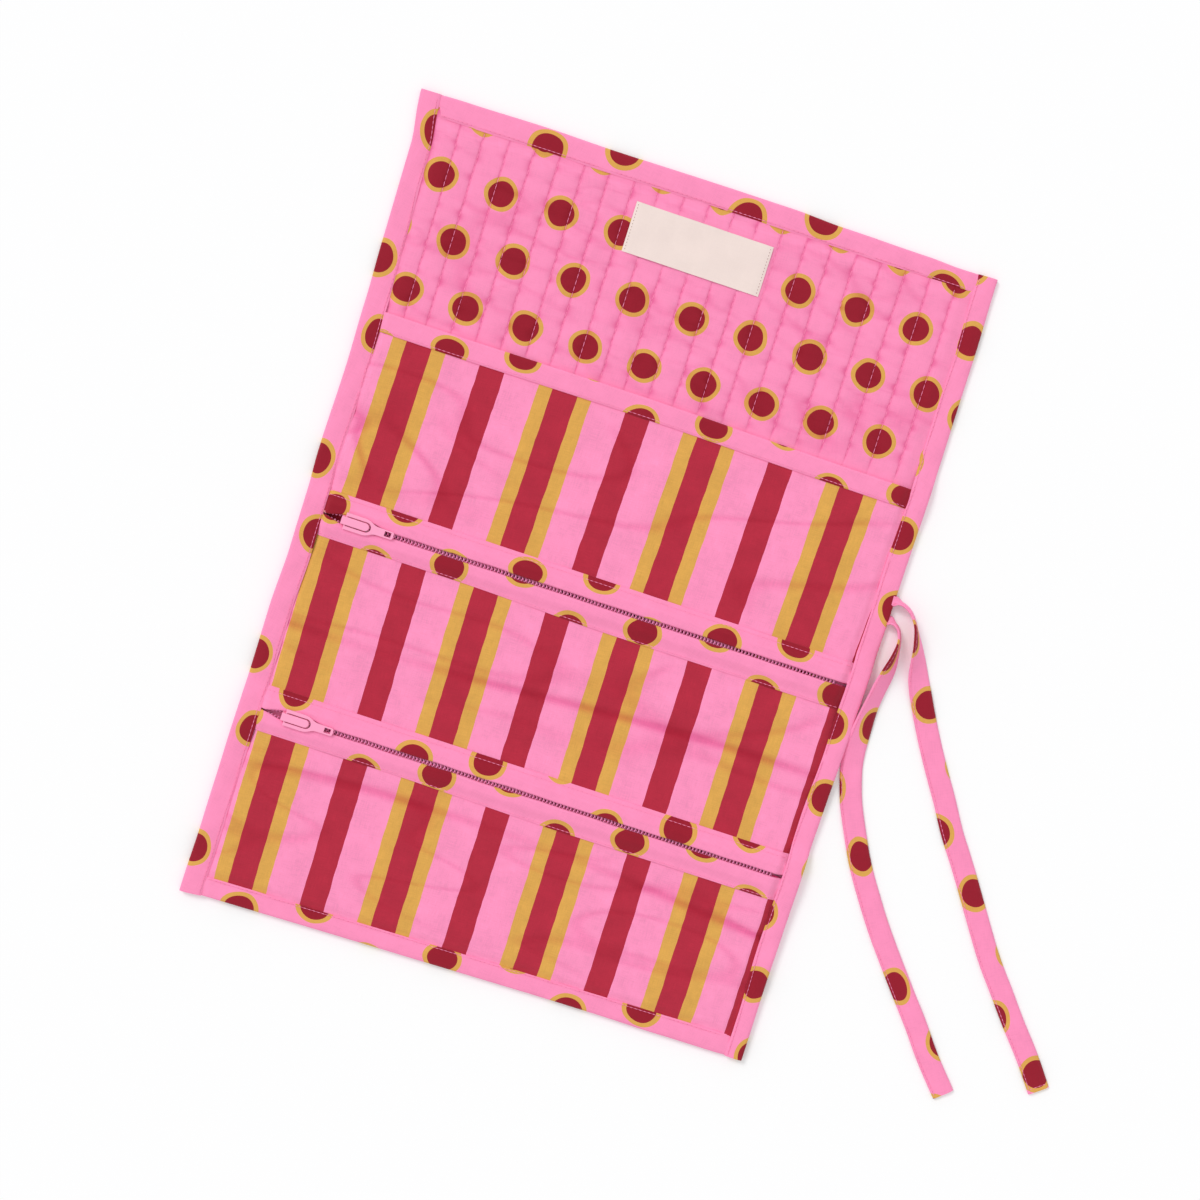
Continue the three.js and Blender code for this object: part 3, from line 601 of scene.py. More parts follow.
# Camera, at the angle of the photograph, and the stage
CAMERA_PLACE = (-0.0229, 0.0443, 0.6927)
CAMERA_TURN = (-4.541, -1.236, 17.581)
WINDOW_DIRECTION = (-0.62, 0.46, 0.64)
WINDOW_STRENGTH = 1.12
WINDOW_SPREAD = 20
ROOM_LIGHT = 0.78
TABLE_REACH = 3000


def make_camera():
    """A plain camera that looks down on the panel, turned as the photograph is."""
    data = bpy.data.cameras.new("camera")
    data.lens = 50
    data.sensor_width = 36
    camera = bpy.data.objects.new("camera", data)
    camera.location = CAMERA_PLACE
    camera.rotation_euler = [math.radians(angle) for angle in CAMERA_TURN]
    bpy.context.scene.collection.objects.link(camera)
    bpy.context.scene.camera = camera


def make_world():
    """A white room that lights the object at less than white, and is seen and mirrored as white."""
    world = bpy.data.worlds.new("soft_room")
    bpy.context.scene.world = world
    world.use_nodes = True
    tree = world.node_tree
    tree.nodes.clear()
    rays = put(tree, "ShaderNodeLightPath").outputs
    seen = calc(tree, "MAXIMUM", rays["Is Camera Ray"], rays["Is Glossy Ray"])
    strength = calc(tree, "ADD", calc(tree, "MULTIPLY", seen, 1 - ROOM_LIGHT), ROOM_LIGHT)
    background = put(tree, "ShaderNodeBackground", {0: WHITE, 1: strength})
    put(tree, "ShaderNodeOutputWorld", {0: background.outputs[0]})


def make_stage():
    """The room, a soft light from a window, and a pale table with a faint grain."""
    scene = bpy.context.scene
    scene.view_settings.view_transform = "Standard"
    make_world()
    lamp = bpy.data.lights.new("window", "SUN")
    lamp.energy = WINDOW_STRENGTH
    lamp.angle = math.radians(WINDOW_SPREAD)
    window = bpy.data.objects.new("window", lamp)
    window.rotation_euler = (-Vector(WINDOW_DIRECTION)).to_track_quat("-Z", "Y").to_euler()
    scene.collection.objects.link(window)
    material, tree = new_material("pale_table")
    grain = noise(tree, put(tree, "ShaderNodeTexCoord").outputs["Object"], 40.0, 2.0)[0]
    rough = calc(tree, "ADD", calc(tree, "MULTIPLY", grain, 0.05), 0.9)
    principled(tree, {"Base Color": TABLE_WHITE, "Roughness": rough, "Specular IOR Level": 0.0})
    corners = TABLE_REACH * np.array([(-1, -1, 0), (1, -1, 0), (1, 1, 0), (-1, 1, 0)])
    add_mesh("pale_table", corners, [np.array([[0, 1, 2, 3]])], None, material)


# Heights of the cloth surfaces
def pressed(z, x):
    """A height that comes down to a thin stack where the side bindings grip it."""
    return mix(z, EDGE_LOW + (z - POCKET_LOW) * PRESS_SHARE, smooth(np.abs(x), OPEN_X, PINCHED_X))


def channel_share(x):
    """How far a place is from the nearest quilting line: 0 on the line and 1 half way to the next."""
    offset = (x - FIRST_LINE_X) / QUILT_PITCH
    return np.abs(offset - np.round(offset)) * 2


def under_label(x, y):
    """1 under the label, and down to 0 a little outside it."""
    return smooth(-np.abs(x - LABEL_X), -33, -29) * smooth(-np.abs(y - LABEL_Y), -14, -10.6)


def creases(x, y, seed, long_x, long_y, sharpness):
    """Thin creases: deepest where a smooth random field crosses zero, and gone a little off that line."""
    field = waves(x, y, seed, long_x, long_y)
    return np.exp(-((field * sharpness) ** 2))


def open_lining(x, y):
    """Where the lining lies free: above the slip pocket's mouth, and not under the label."""
    return smooth(y, MOUTH_Y - 1, MOUTH_Y + 5) * (1 - under_label(x, y))


def puckers(x, y):
    """Short gathers that run off both sides of each stitch line, each channel with its own."""
    share = channel_share(x)
    channel = np.floor((x - FIRST_LINE_X) / QUILT_PITCH)
    gathers = waves(x * 0.6 + 37 * channel, y, 3, 30, 4.6, 9)
    return gathers * np.exp(-3.2 * share) * smooth(share, 0, 0.06)


def cross_folds(x, y):
    """Soft folds across the channels, drawn in by the stitches, stronger in some places than in others."""
    broad = creases(x, y + 1.2 * channel_share(x), 11, 62, 15, 3.0)
    fine = creases(x + 0.5 * y, y, 12, 34, 12, 4.4)
    broad_here = smooth(waves(x, y, 5, 60, 40), -0.9, 0.9)
    fine_here = smooth(waves(x, y, 6, 40, 30), -0.3, 1.0)
    return broad * broad_here + 0.7 * fine * fine_here


def gripped_quilt(x, from_end):
    """Where the quilt is bound: 0 inside and 1 under the bindings. from_end says it for the two ends."""
    return np.maximum(smooth(np.abs(x), QUILT_OPEN_X, PINCHED_X), from_end)


def quilt_top(x, y):
    """The lining: low channels with a sharp groove on each stitch line. On the flap, puckers run off the
    stitches and soft folds cross the channels. It is thin where it is bound."""
    share = channel_share(x)
    free = open_lining(x, y)
    rise = 0.62 * (1 - np.exp(-8 * share)) + 0.38 * np.sin(share * math.pi / 2)
    seam, crest = LINING_SEAM - 0.12 * free, LINING_TOP + 0.1 * free
    drift = 0.12 * waves(x, y, 9, 38, 13)
    relief = 0.15 * puckers(x, y) - 0.2 * cross_folds(x, y) * smooth(share, 0, 0.2) + drift
    z = seam + (crest - seam) * rise + free * relief
    top_end = smooth(y, TOP_Y - GRIP_FROM["top"], TOP_Y - GRIPPED)
    bottom_end = smooth(-y, TOP_Y - GRIP_FROM["bottom"], TOP_Y - GRIPPED)
    return mix(z, LINING_GRIPPED, gripped_quilt(x, np.maximum(top_end, bottom_end)))


def quilt_shade(x, y):
    """How much painted shade darkens the lining's colour: in the grooves, the gathers beside them and the
    folds across.
    """
    from_line = channel_share(x) * QUILT_PITCH / 2
    groove = 0.62 * np.exp(-((from_line / 0.4) ** 2)) + 0.14 * np.exp(-from_line / 0.8)
    gathers = 0.8 * np.clip(-puckers(x, y), 0, 1)
    return open_lining(x, y) * np.clip(groove + gathers + 0.36 * cross_folds(x, y), 0, 1)


def quilt_low(x, y):
    """The shell: channels that the table flattens, with a groove on each stitch line."""
    groove = (1 - smooth(channel_share(x), 0, 0.55)) * 0.55
    bumps = 0.12 * smooth(waves(x, y, 8, 30, 7), 0.1, 1.2)
    ends = smooth(np.abs(y), TOP_Y - GRIP_FROM["shell"], TOP_Y - GRIPPED)
    return mix(groove + bumps, SHELL_GRIPPED, gripped_quilt(x, ends))


def slip_folds(x, y):
    """Where the slip pocket's front lies free, from its foot to its mouth, and its folds: long soft ones,
    and shorter ones low at its left end."""
    along = y - seam_shift(x)
    body = smooth(along, 8, 18) * smooth(-along, -70, -60)
    left = creases(x + 0.4 * y, y, 23, 46, 26, 3.2) * smooth(-x, 30, 85) * smooth(-y, -58, -30)
    return body, 0.7 * creases(x, y, 22, 120, 30, 7) + left


def slip_front_top(x, y):
    """The slip pocket's front: flat on the lining, lifted under the mouth band, with billows and creases."""
    z = soft_line(y - seam_shift(x), (60, 72), (POCKET_LOW, 3.3)) + CLOTH
    body, folds = slip_folds(x, y)
    return pressed(z + body * (0.4 + 0.34 * waves(x, y, 21, 70, 45) - 0.4 * folds), x)


def slip_shade(x, y):
    """The painted shade of the folds in the front's colour, where the front lies free."""
    body, folds = slip_folds(x, y)
    return 0.6 * body * folds


# How far below its zip each zip pocket's front has its foot, and its long fold as a wavy line across it
FRONT_FOOT = {1: -64.8, 2: -70.8}
FRONT_FOLD = {
    1: lambda x: -44 + 4 * np.sin(x / 60),
    2: lambda x: -25 + 7 * np.cos((x + 20) / 70),
}


def front_folds(number, x, y):
    """Where a zip pocket's front lies free, its long fold, stronger in places, and a few fine creases."""
    distance = above_chain(number, x, y)
    stretch = smooth(wander(x, 40 + number, 160), -0.9, 0.4)
    long_fold = np.exp(-(((distance - FRONT_FOLD[number](x)) / 2.0) ** 2)) * stretch
    body = smooth(distance, FRONT_FOOT[number], FRONT_FOOT[number] + 12) * smooth(-distance, 12, 20)
    return body, long_fold, creases(x, y, 50 + number, 110, 26, 6)


def zip_front_top(number, x, y):
    """A zip pocket's front: low at its foot, then up to its lap under the zip's lower band. The bottom
    binding grips the foot of the last one."""
    distance = above_chain(number, x, y)
    rise = soft_line(distance, (FRONT_FOOT[number], -19, -LOWER_EDGE), (POCKET_LOW, FRONT_RISE, FRONT_LAP))
    body, long_fold, fine = front_folds(number, x, y)
    billow = 0.36 + 0.3 * waves(x, y, 30 + number, 75, 40)
    z = pressed(rise + CLOTH + body * (billow - 0.55 * long_fold - 0.24 * fine), x)
    if number == 1:
        return z
    grip = smooth(-y, TOP_Y - GRIP_FROM["shell"], TOP_Y - FRONT_GRIPPED)
    return mix(z, np.minimum(z, EDGE_LOW + CLOTH), grip)


def front_shade(number, x, y):
    """The painted shade of the folds in the front's colour, where the front lies free."""
    body, long_fold, fine = front_folds(number, x, y)
    return body * (0.85 * long_fold + 0.35 * fine)


def lip_gap(number, side, x):
    """Half of the slit over a chain: nearly shut at the left end, open round the crown, then narrowing."""
    gap = soft_line(x, (-114, -103.4, -90.6, -85, 110), (0.3, 1.95, 1.95, 0.95, 0.75))
    return gap + 0.1 * wander(x, 100 + 3 * number + side, 18)


# How far from the chain a zip's bands lie over the slider's plate, bend down, and end
PLATE_REACH = 4.4
UPPER_BEND = 7.75
UPPER_EDGE = 10.05
LOWER_EDGE = 9.4
LIP_JOIN = 4.7


def band_top(number, x, y):
    """A zip's cloth bands: highest over the slider's plate, then down to the seam or to the front."""
    distance = above_chain(number, x, y)
    upper = soft_line(distance, (PLATE_REACH, UPPER_BEND, UPPER_EDGE), (LIP_LOW, FOOT_BEND, FOOT_LOW))
    lower = soft_line(-distance, (PLATE_REACH, LOWER_EDGE), (LIP_LOW, BAND_LOW))
    z = np.where(distance > 0, upper, lower) + BAND_THICKNESS
    z = z + 0.1 * waves(x, y, 60 + number, 26, 12) * smooth(np.abs(distance), 1, 4)
    return pressed(z, x)


def lower_edge(x):
    """How far below the chain the lower band ends: a little further at the right."""
    return LOWER_EDGE + 1.3 * smooth(x, -60, 20)


def tape_top(x, y):
    """A zip's tape: level, but for the grip of the side bindings."""
    return pressed(np.full(x.shape, TAPE_LOW + TAPE_THICKNESS), x)


# How far the mouth's middle is drawn up past the straight line between its ends
MOUTH_BOW = 0.9


def mouth_high(x):
    """The mouth band's upper edge: on the slant of the seams, with a bow in its middle."""
    return MOUTH_Y + seam_shift(x) + MOUTH_BOW * np.exp(-((x / 60) ** 2))


def mouth_low(x):
    """The mouth band's lower edge."""
    return mouth_high(x) - MOUTH_BAND_WIDTH


def mouth_top(x, y):
    """The mouth band: level, with a low bulge across its width."""
    bulge = 0.12 * np.sin(ramp(y - mouth_low(x), 0, MOUTH_BAND_WIDTH) * math.pi)
    return pressed(MOUTH_TOP + bulge + 0.08 * waves(x, y, 95, 24, 8), x)


def label_top(x, y):
    """A woven tape that dips a little over each stitch line under it and is drawn down at its sewn ends."""
    ends = smooth(np.abs(x - LABEL_X), LABEL_WIDTH / 2 - 3, LABEL_WIDTH / 2)
    return LABEL_LEVEL - 0.14 * (1 - channel_share(x)) + 0.14 * waves(x, y, 120, 26, 15) - 0.12 * ends


def rolled(distance, radius):
    """How far a folded edge falls away: a quarter circle over the last stretch before the edge."""
    share = 1 - ramp(distance, 0, radius)
    return radius * (1 - np.sqrt(np.maximum(1 - share * share, 0)))


# Stitches
STITCH_SHARE = 0.8
QUILTING_SHARE = 0.94
THREAD_RADIUS = 0.13
THREAD_FLAT_SHARE = 0.4
STITCH_RISE = 0.05
SEAM_STITCH = 2.0
SEAM_INSET = 0.9
# The dark-pink marks of painted shade at the needle holes: how far each reaches along the seam, how wide and
# how deep
HOLE_REACH = 0.34
HOLE_RADIUS = 0.15
HOLE_DEPTH = 0.05
# Where a thread or a hole has its rings, as shares of half its length, and how thick it is there
THREAD_SHARES = ((-0.6, 0.85), (0.0, 1.15), (0.6, 0.85))
HOLE_SHARES = ((0.0, 1.0),)
FIVE = np.arange(5)
NEXT_FIVE = (FIVE + 1) % 5


def spindles(middle, half, up, radius, stations):
    """Thin bodies of five sides with pointed ends: a row of points for each, with a ring at each station."""
    across = unit(np.cross(unit(half), up))
    angles = (FIVE * 2 * math.pi / 5)[None, :, None]
    wide, high = radius
    rim = wide * across[:, None] * np.cos(angles) + high * up[:, None] * np.sin(angles)
    rings = [(middle + half * place)[:, None] + rim * thick for place, thick in stations]
    return np.concatenate([(middle - half)[:, None], *rings, (middle + half)[:, None]], axis=1)


def spindle_faces(count, rings, first, flip):
    """The faces of spindles with so many rings, for points that start at the given number."""
    last = 5 * rings + 1
    tips = np.concatenate([
        np.stack([np.zeros(5, int), 1 + NEXT_FIVE, 1 + FIVE], axis=-1),
        np.stack([np.full(5, last), last - 5 + FIVE, last - 5 + NEXT_FIVE], axis=-1),
    ])
    starts = [1 + 5 * k for k in range(rings - 1)]
    wall = [np.stack([r + FIVE, r + NEXT_FIVE, r + 5 + NEXT_FIVE, r + 5 + FIVE], axis=-1) for r in starts]
    base = (first + np.arange(count) * (last + 1))[:, None, None]
    groups = [(base + tips).reshape(-1, 3)]
    if wall:
        groups.append((base + np.concatenate(wall)).reshape(-1, 4))
    return [group[:, ::-1] for group in groups] if flip else groups


def stitches(name, line, up=(0, 0, 1), share=STITCH_SHARE, thread=None):
    """A thread between neighbouring points of a line, and between each two threads a small dark-pink mark of
    painted shade where the needle hole is.
    """
    up = np.broadcast_to(np.asarray(up, float), line.shape)
    start, end = line[:-1], line[1:]
    flip = up[0, 2] < 0
    size = (THREAD_RADIUS, THREAD_RADIUS * THREAD_FLAT_SHARE)
    threads = spindles((start + end) / 2, (end - start) / 2 * share, up[:-1], size, THREAD_SHARES)
    faces = spindle_faces(len(threads), len(THREAD_SHARES), 0, flip)
    count = sum(len(group) for group in faces)
    points = threads.reshape(-1, 3)
    if thread is None:
        gap = start[1:] - up[1:-1] * THREAD_RADIUS * 0.55
        along = unit(end[1:] - start[1:]) * HOLE_REACH
        marks = spindles(gap, along, up[1:-1], (HOLE_RADIUS, HOLE_DEPTH), HOLE_SHARES)
        faces = faces + spindle_faces(len(marks), len(HOLE_SHARES), len(points), flip)
        points = np.concatenate([points, marks.reshape(-1, 3)])
    piece = add_mesh(name, points, faces, None, thread or THREAD, 180)
    piece.data.materials.append(NEEDLE_HOLE_SHADE)
    total = len(piece.data.polygons)
    piece.data.polygons.foreach_set("material_index", (np.arange(total) >= count).astype(np.int32))
    return piece


def sew(name, top, x, y, **moves_with):
    """A seam on a body or across a fold: stitches at even steps along a line that lies on a surface."""
    lengths = distances_along(np.stack([x, y], axis=-1))
    places = np.arange(0, lengths[-1], SEAM_STITCH)
    line_x, line_y = np.interp(places, lengths, x), np.interp(places, lengths, y)
    piece = stitches(name, settled_points(line_x, line_y, top(line_x, line_y) + STITCH_RISE))
    dress(piece, "dot_cotton", **moves_with)


# The quilt
# The padded piece of each stretch, and the step between its rows
QUILT_PARTS = {"upper": ("quilt_flap", 0.9), "middle": ("quilt_middle", 1.5), "lower": ("quilt_lower", 1.8)}
QUILT_UV_SHIFT = (106.2, -142.5)
# How far the print is drawn along and up where the top binding grips the lining
DRAWN_ALONG = 2.2
DRAWN_UP = 3.0
# The step between quilting stitches, how much later each next line starts, and how far from the ends it ends
QUILTING_STEP = 2.7
QUILTING_DRIFT = 1.37
QUILTING_INSET = 9.2


def quilt_columns():
    """Columns that crowd towards each stitch line, where the cloth turns down, and thin out on the crown."""
    half = (np.arange(HALF_CHANNEL_COLUMNS) / HALF_CHANNEL_COLUMNS) ** 1.7 * QUILT_PITCH / 2
    channel = np.concatenate([half, QUILT_PITCH - half[:0:-1]])
    lines = FIRST_LINE_X + np.arange(-2, LINE_COUNT + 2) * QUILT_PITCH
    columns = (lines[:, None] + channel[None]).ravel()
    inside = columns[np.abs(columns) < REACH_X - 0.3]
    return np.concatenate([[-REACH_X], inside, [REACH_X]])


def quilt_uv(x, y):
    """The lining's print, which lies straight but for where the top binding grips it."""
    print_x, print_y = settled(x, y)
    drawn = smooth(y, TOP_Y - 15, TOP_Y - BINDING_WIDTH)
    return np.stack([
        print_x + QUILT_UV_SHIFT[0] + DRAWN_ALONG * drawn,
        print_y + QUILT_UV_SHIFT[1] - DRAWN_UP * drawn * smooth(-x, -112, -70),
    ], axis=-1)


def make_quilt():
    """The padded panel in three pieces, each a closed sheet between the lining and the shell."""
    columns = quilt_columns()
    for stretch, (high, low, fold, sections) in STRETCHES.items():
        name, step = QUILT_PARTS[stretch]
        high, low = min(high, TOP_Y - END_INSET), max(low, END_INSET - TOP_Y)
        rows = np.linspace(low, high, int((high - low) / step) + 1)
        x, y = np.meshgrid(columns, rows, indexing="ij")
        piece = closed_sheet(
            name, x, y, quilt_top(x, y), quilt_low(x, y), quilt_uv(x, y), DOTTED, quilt_shade(x, y))
        nodes = [f"{section}_{layer}" for section in sections for layer in ("shell", "batting", "lining")]
        dress(piece, "dot_cotton", *nodes, fold=fold)
        make_quilting(name, high, low, fold)


def make_quilting(part, high, low, fold):
    """Running stitches down every quilting line, on the lining where it shows and on the whole shell."""
    for label, surface, side, lowest in (("top", quilt_top, 1, MOUTH_Y + 3), ("back", quilt_low, -1, low)):
        bottom = max(low, lowest, QUILTING_INSET - TOP_Y)
        top = min(high, TOP_Y - QUILTING_INSET)
        if top - bottom < QUILTING_STEP:
            continue
        rows = np.arange(bottom, top, QUILTING_STEP)
        name = f"{part}_stitches_{label}"
        lines = []
        for k in range(LINE_COUNT):
            x = np.full(len(rows), FIRST_LINE_X + k * QUILT_PITCH)
            y = rows + (k * QUILTING_DRIFT) % QUILTING_STEP
            line = settled_points(x, y, surface(x, y) + side * STITCH_RISE)
            lines.append(stitches(f"{name}_{k}", line, (0, 0, side), QUILTING_SHARE))
        dress(joined(name, lines), "dot_cotton", fold=fold)


# The bindings
BINDING_STEP = 1.6
SIDE_WIDTHS = {"left": 9.4, "right": 8.5}
# For each end strip: which way it faces, the body that it rides on, how high it stands in its middle and
# where it is tucked under the side bindings, and how wide it shows
END_STRIPS = {"top": (1, "flap", 2.25, 1.7, 8.1), "bottom": (-1, "pocket_3_panel", 2.9, 2.3, 8.3)}
END_REACH_X = 118.0
END_SEAM_INSET = 0.7
# How high the upper leaf lies along the panel: higher where the pockets and the zips run under it
LEAF_STEPS = (
    (-172, 2.42), (-109, 3.61), (-99.6, 4.11), (-97.6, 4.45), (-82.8, 4.45), (-80.2, 3.61), (-79.8, 2.42),
    (-24.2, 3.61), (-14.4, 4.11), (-12.4, 4.45), (2.4, 4.45), (5, 3.61), (5.4, 2.42), (64, 2.42),
    (72.3, 3.12), (81, 3.12), (88.5, 1.8),
)
# The way round one leaf of a binding: each point's share of the width and of the height
BINDING_SHARES = np.array([
    (1.0, 0.0), (0.75, 0.0), (0.5, 0.0), (0.25, 0.0), (0.08, 0.0), (0.025, 0.1), (0.0, 0.3), (0.0, 0.7),
    (0.025, 0.9), (0.08, 1.0), (0.2, 1.0), (0.35, 1.0), (0.5, 1.0), (0.65, 1.0), (0.78, 1.0), (0.86, 1.0),
    (0.93, 1.0), (1.0, 1.0),
])


def binding_height(y):
    """The top of the side bindings' upper leaf: the mean of its steps over a few millimetres."""
    places, steps = zip(*LEAF_STEPS)
    around = sum(np.interp(y + shift, places, steps) for shift in (0, -2.4, -1.2, 1.2, 2.4))
    return around / 5 + CLOTH


def side_width(side, y):
    """How wide a side binding shows: the left one narrows to the top and the right one to the bottom."""
    narrowing = smooth(y, 100, 150) if side == "left" else 1.1 * smooth(-y, 110, 165)
    return SIDE_WIDTHS[side] - narrowing


def binding_rings(places, height, width, seed):
    """Rings of a folded tape: out along the lower leaf, round the edge, back, and the same way inside."""
    share_in, share_up = BINDING_SHARES.T
    upper = share_up == 1
    outside_in = share_in[None] * width[:, None]
    crown = 0.28 * np.sin(np.clip(share_in / 0.86, 0, 1) * math.pi) * upper
    ruffle = 0.12 * waves(places[:, None], share_in[None] * 9, seed, 14, 9) * upper
    outside_up = np.maximum(share_up[None] * (height[:, None] - 0.1) + crown[None] + ruffle, 0)
    outside_up = outside_up - (upper * rolled((1 - share_in) * BINDING_WIDTH, 0.35))[None] * 0.8
    back_up = outside_up[:, ::-1]
    inside_in = np.maximum(outside_in[:, ::-1], CLOTH * 0.9)
    inside_up = np.where(back_up < 0.4, CLOTH * 0.9, np.clip(back_up - CLOTH, CLOTH * 0.9, None))
    return np.concatenate([outside_in, inside_in], axis=1), np.concatenate([outside_up, inside_up], axis=1)


def binding_tape(name, edge, sign, at_end, places, heights, widths, seed):
    """A folded tape along one edge of the panel, which is a side or, with at_end, the top or the bottom."""
    inward, up = binding_rings(places, heights, widths, seed)
    across = sign * ((TOP_Y if at_end else SIDE_X) - inward)
    along = np.broadcast_to(places[:, None], across.shape)
    rings = settled_points(along, across, up) if at_end else settled_points(across, along, up)
    uv = cut_on_slant(edge, along, across)
    if (sign > 0) == at_end:
        rings, uv = rings[:, ::-1], uv[:, ::-1]
    return tube(name, rings, uv, DOTTED)


def make_side_binding(side, sign, stretch):
    """A side binding over one stretch of the panel, with its seam."""
    high, low, fold, sections = STRETCHES[stretch]
    name = f"binding_{side}_{stretch}"
    places = np.linspace(low, high, int((high - low) / BINDING_STEP) + 1)
    widths = side_width(side, places) + 0.22 * wander(places, 70 + sign, 40)
    piece = binding_tape(name, side, sign, False, places, binding_height(places), widths, 73 + sign)
    dress(piece, "dot_cotton", *[f"{section}_binding_{side}" for section in sections], fold=fold)
    line_y = np.arange(low + 0.4, high - 0.4, 1.0)
    line_x = sign * (SIDE_X - side_width(side, line_y) + SEAM_INSET + 0.12 * wander(line_y, 90, 30))
    sew(f"{name}_stitches", lambda x, y: binding_height(y) + 0.1, line_x, line_y, fold=fold)


def make_end_bindings():
    """Strips like the side bindings, whose ends run flat under them."""
    for end, (sign, body, height, tucked, width) in END_STRIPS.items():
        name = f"binding_{end}"
        places = np.linspace(-END_REACH_X, END_REACH_X, 150)
        heights = mix(height, tucked, smooth(np.abs(places), OPEN_X, 115.7))
        widths = width + 0.15 * wander(places, 85 + sign, 50)
        piece = binding_tape(name + "_tape", end, sign, True, places, heights, widths, 80 + sign)
        dress(piece, "dot_cotton", name, body=body)
        reach = BINDING_INNER_X - 1.3
        line_x = np.arange(-reach, reach, 1.0)
        line_y = np.full(len(line_x), sign * (TOP_Y - width + END_SEAM_INSET))
        sew(name + "_stitches", lambda x, y: np.full(x.shape, height + 0.02), line_x, line_y, body=body)


# The pockets and the zips
# Where the seams across the panel run between the side bindings
SEAM_X = np.arange(-BINDING_INNER_X + 0.6, BINDING_INNER_X, 1.0)
EDGE_SHARES = np.array([0.0, 0.006, 0.018, 0.04])
FRONT_ROWS = 84
STRIPE_PHASE = {0: -96.0, 1: -101.0, 2: -100.6}
STRIPE_LEAN = {0: -0.024, 1: 0.008, 2: 0.004}
STRIPE_SHIFT = 90
# How far the slip pocket's print is drawn in at its right end, low down, so that a red edge peeps out there
SLIP_DRAWN_IN = 1.7
# How far below the chain a zip pocket's front ends, and how far above it the upper band is sewn down
FRONT_EDGE = 4.85
UPPER_SEAM = 8.3

ZIP_BODY = {1: "pocket_2_panel", 2: "pocket_3_panel"}
ZIP_FOLD = {1: "pocket_2", 2: "pocket_3"}
# How far the folded edges of a zip's bands roll, and where each part of it lies from the chain when shut
LIP_ROLL = 0.8
LOWER_ROLL = 0.4
FOOT_ROLL = 0.35
UPPER_LIP_CUT = 3.9
LOWER_CUT = 9.3
COIL_INNER = 0.72
TAPE_INNER = 0.45
TAPE_OUTER = {1: 5.0, -1: 7.4}
# How much further than the chain the tapes stand off where the wedge parts them
TAPE_SPREAD_SHARE = 1.45
CHAIN_SPREAD = 1.5
NOSE_X = -103.5
SPREAD_END_X = -96.0
COIL_PITCH = 1.5
COIL_STEPS = 10
COIL_SIDES = 6
COIL_RADIUS = 0.26
COIL_REACH = 0.95
COIL_RISE = 0.36


def cloth_between(name, low_at, high_at, rows, top, uv_at, material, thickness=CLOTH, roll_low=0,
                  roll_high=0, columns=230, shade_at=None):
    """Cloth between two lines that run across the panel, with rolled edges where they are folded."""
    shares = np.unique(np.concatenate([EDGE_SHARES, np.linspace(0, 1, rows), 1 - EDGE_SHARES]))
    x, share = np.meshgrid(np.linspace(-REACH_X, REACH_X, columns), shares, indexing="ij")
    y = mix(low_at(x), high_at(x), share)
    z = top(x, y)
    below = z - thickness
    if roll_low:
        z = z - rolled(y - low_at(x), roll_low)
    if roll_high:
        z = z - rolled(high_at(x) - y, roll_high)
    low = np.minimum(below, z - 0.08)
    shade = None if shade_at is None else shade_at(x, y)
    return closed_sheet(name, x, y, z, low, uv_at(x, y), material, shade)


def striped_uv(pocket, x, y):
    """The stripes of a pocket's front, which run along Y with a slight lean."""
    across = settled(x, y)[0] - STRIPE_PHASE[pocket] + STRIPE_LEAN[pocket] * y
    if pocket == 0:
        across = across + SLIP_DRAWN_IN * smooth(x, 98, 116) * smooth(-y, -60, -15)
    return np.stack([across, y + STRIPE_SHIFT * pocket], axis=-1)


def mouth_uv(x, y):
    """The mouth band's print, along the slant of the seams."""
    return cut_on_slant("mouth", x, y - seam_shift(x))


def band_uv(number, label, x, y):
    """A zip band's print, along the chain."""
    return cut_on_slant(f"zip_{number}_{label}", x, above_chain(number, x, y))


def straight_uv(x, y):
    """Cloth that lies straight on the panel."""
    return np.stack([x, y], axis=-1)


def make_slip_pocket():
    """The slip pocket's striped front, and the dotted band round its mouth with its seam."""
    front = cloth_between(
        "slip_pocket_front_cloth", lambda x: POCKET_2_FOLD_Y - SEAM_LAP + seam_shift(x),
        lambda x: mouth_high(x) - END_INSET, FRONT_ROWS, slip_front_top, partial(striped_uv, 0), STRIPED,
        shade_at=slip_shade)
    dress(front, "stripe_cotton", "slip_pocket_front", fold="pocket_2")
    band = cloth_between(
        "mouth_band_cloth", mouth_low, mouth_high, 18, mouth_top, mouth_uv, DOTTED, MOUTH_DEPTH, 0.5, 0.8)
    dress(band, "dot_cotton", "slip_pocket_mouth_band", body="pocket_1_panel")
    sew("mouth_band_stitches", mouth_top, SEAM_X, mouth_low(SEAM_X) + SEAM_INSET, body="pocket_1_panel")


def make_zip_fronts():
    """The fronts of pockets 2 and 3: one ends in the next fold's seam and the other at the panel's end."""
    for number, foot, slanted, moves_with in (
        (1, POCKET_3_FOLD_Y - SEAM_LAP, 1, {"fold": "pocket_3"}),
        (2, END_INSET - TOP_Y, 0, {"body": "pocket_3_panel"}),
    ):
        name = f"pocket_{number + 1}_front"
        edge = ZIP_Y[number] - FRONT_EDGE
        front = cloth_between(
            name + "_cloth", lambda x: foot + slanted * seam_shift(x), lambda x: edge + seam_shift(x),
            FRONT_ROWS, partial(zip_front_top, number), partial(striped_uv, number), STRIPED,
            shade_at=partial(front_shade, number))
        dress(front, "stripe_cotton", name, **moves_with)


def part_as_opened(piece):
    """Gives one side of a zip its own copy of its mesh."""
    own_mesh(piece)


def from_chain(number, distance):
    """A line across the panel at a distance above a zip's chain, which is a number or follows X."""
    def line(x):
        return ZIP_Y[number] + seam_shift(x) + (distance(x) if callable(distance) else distance)
    return line


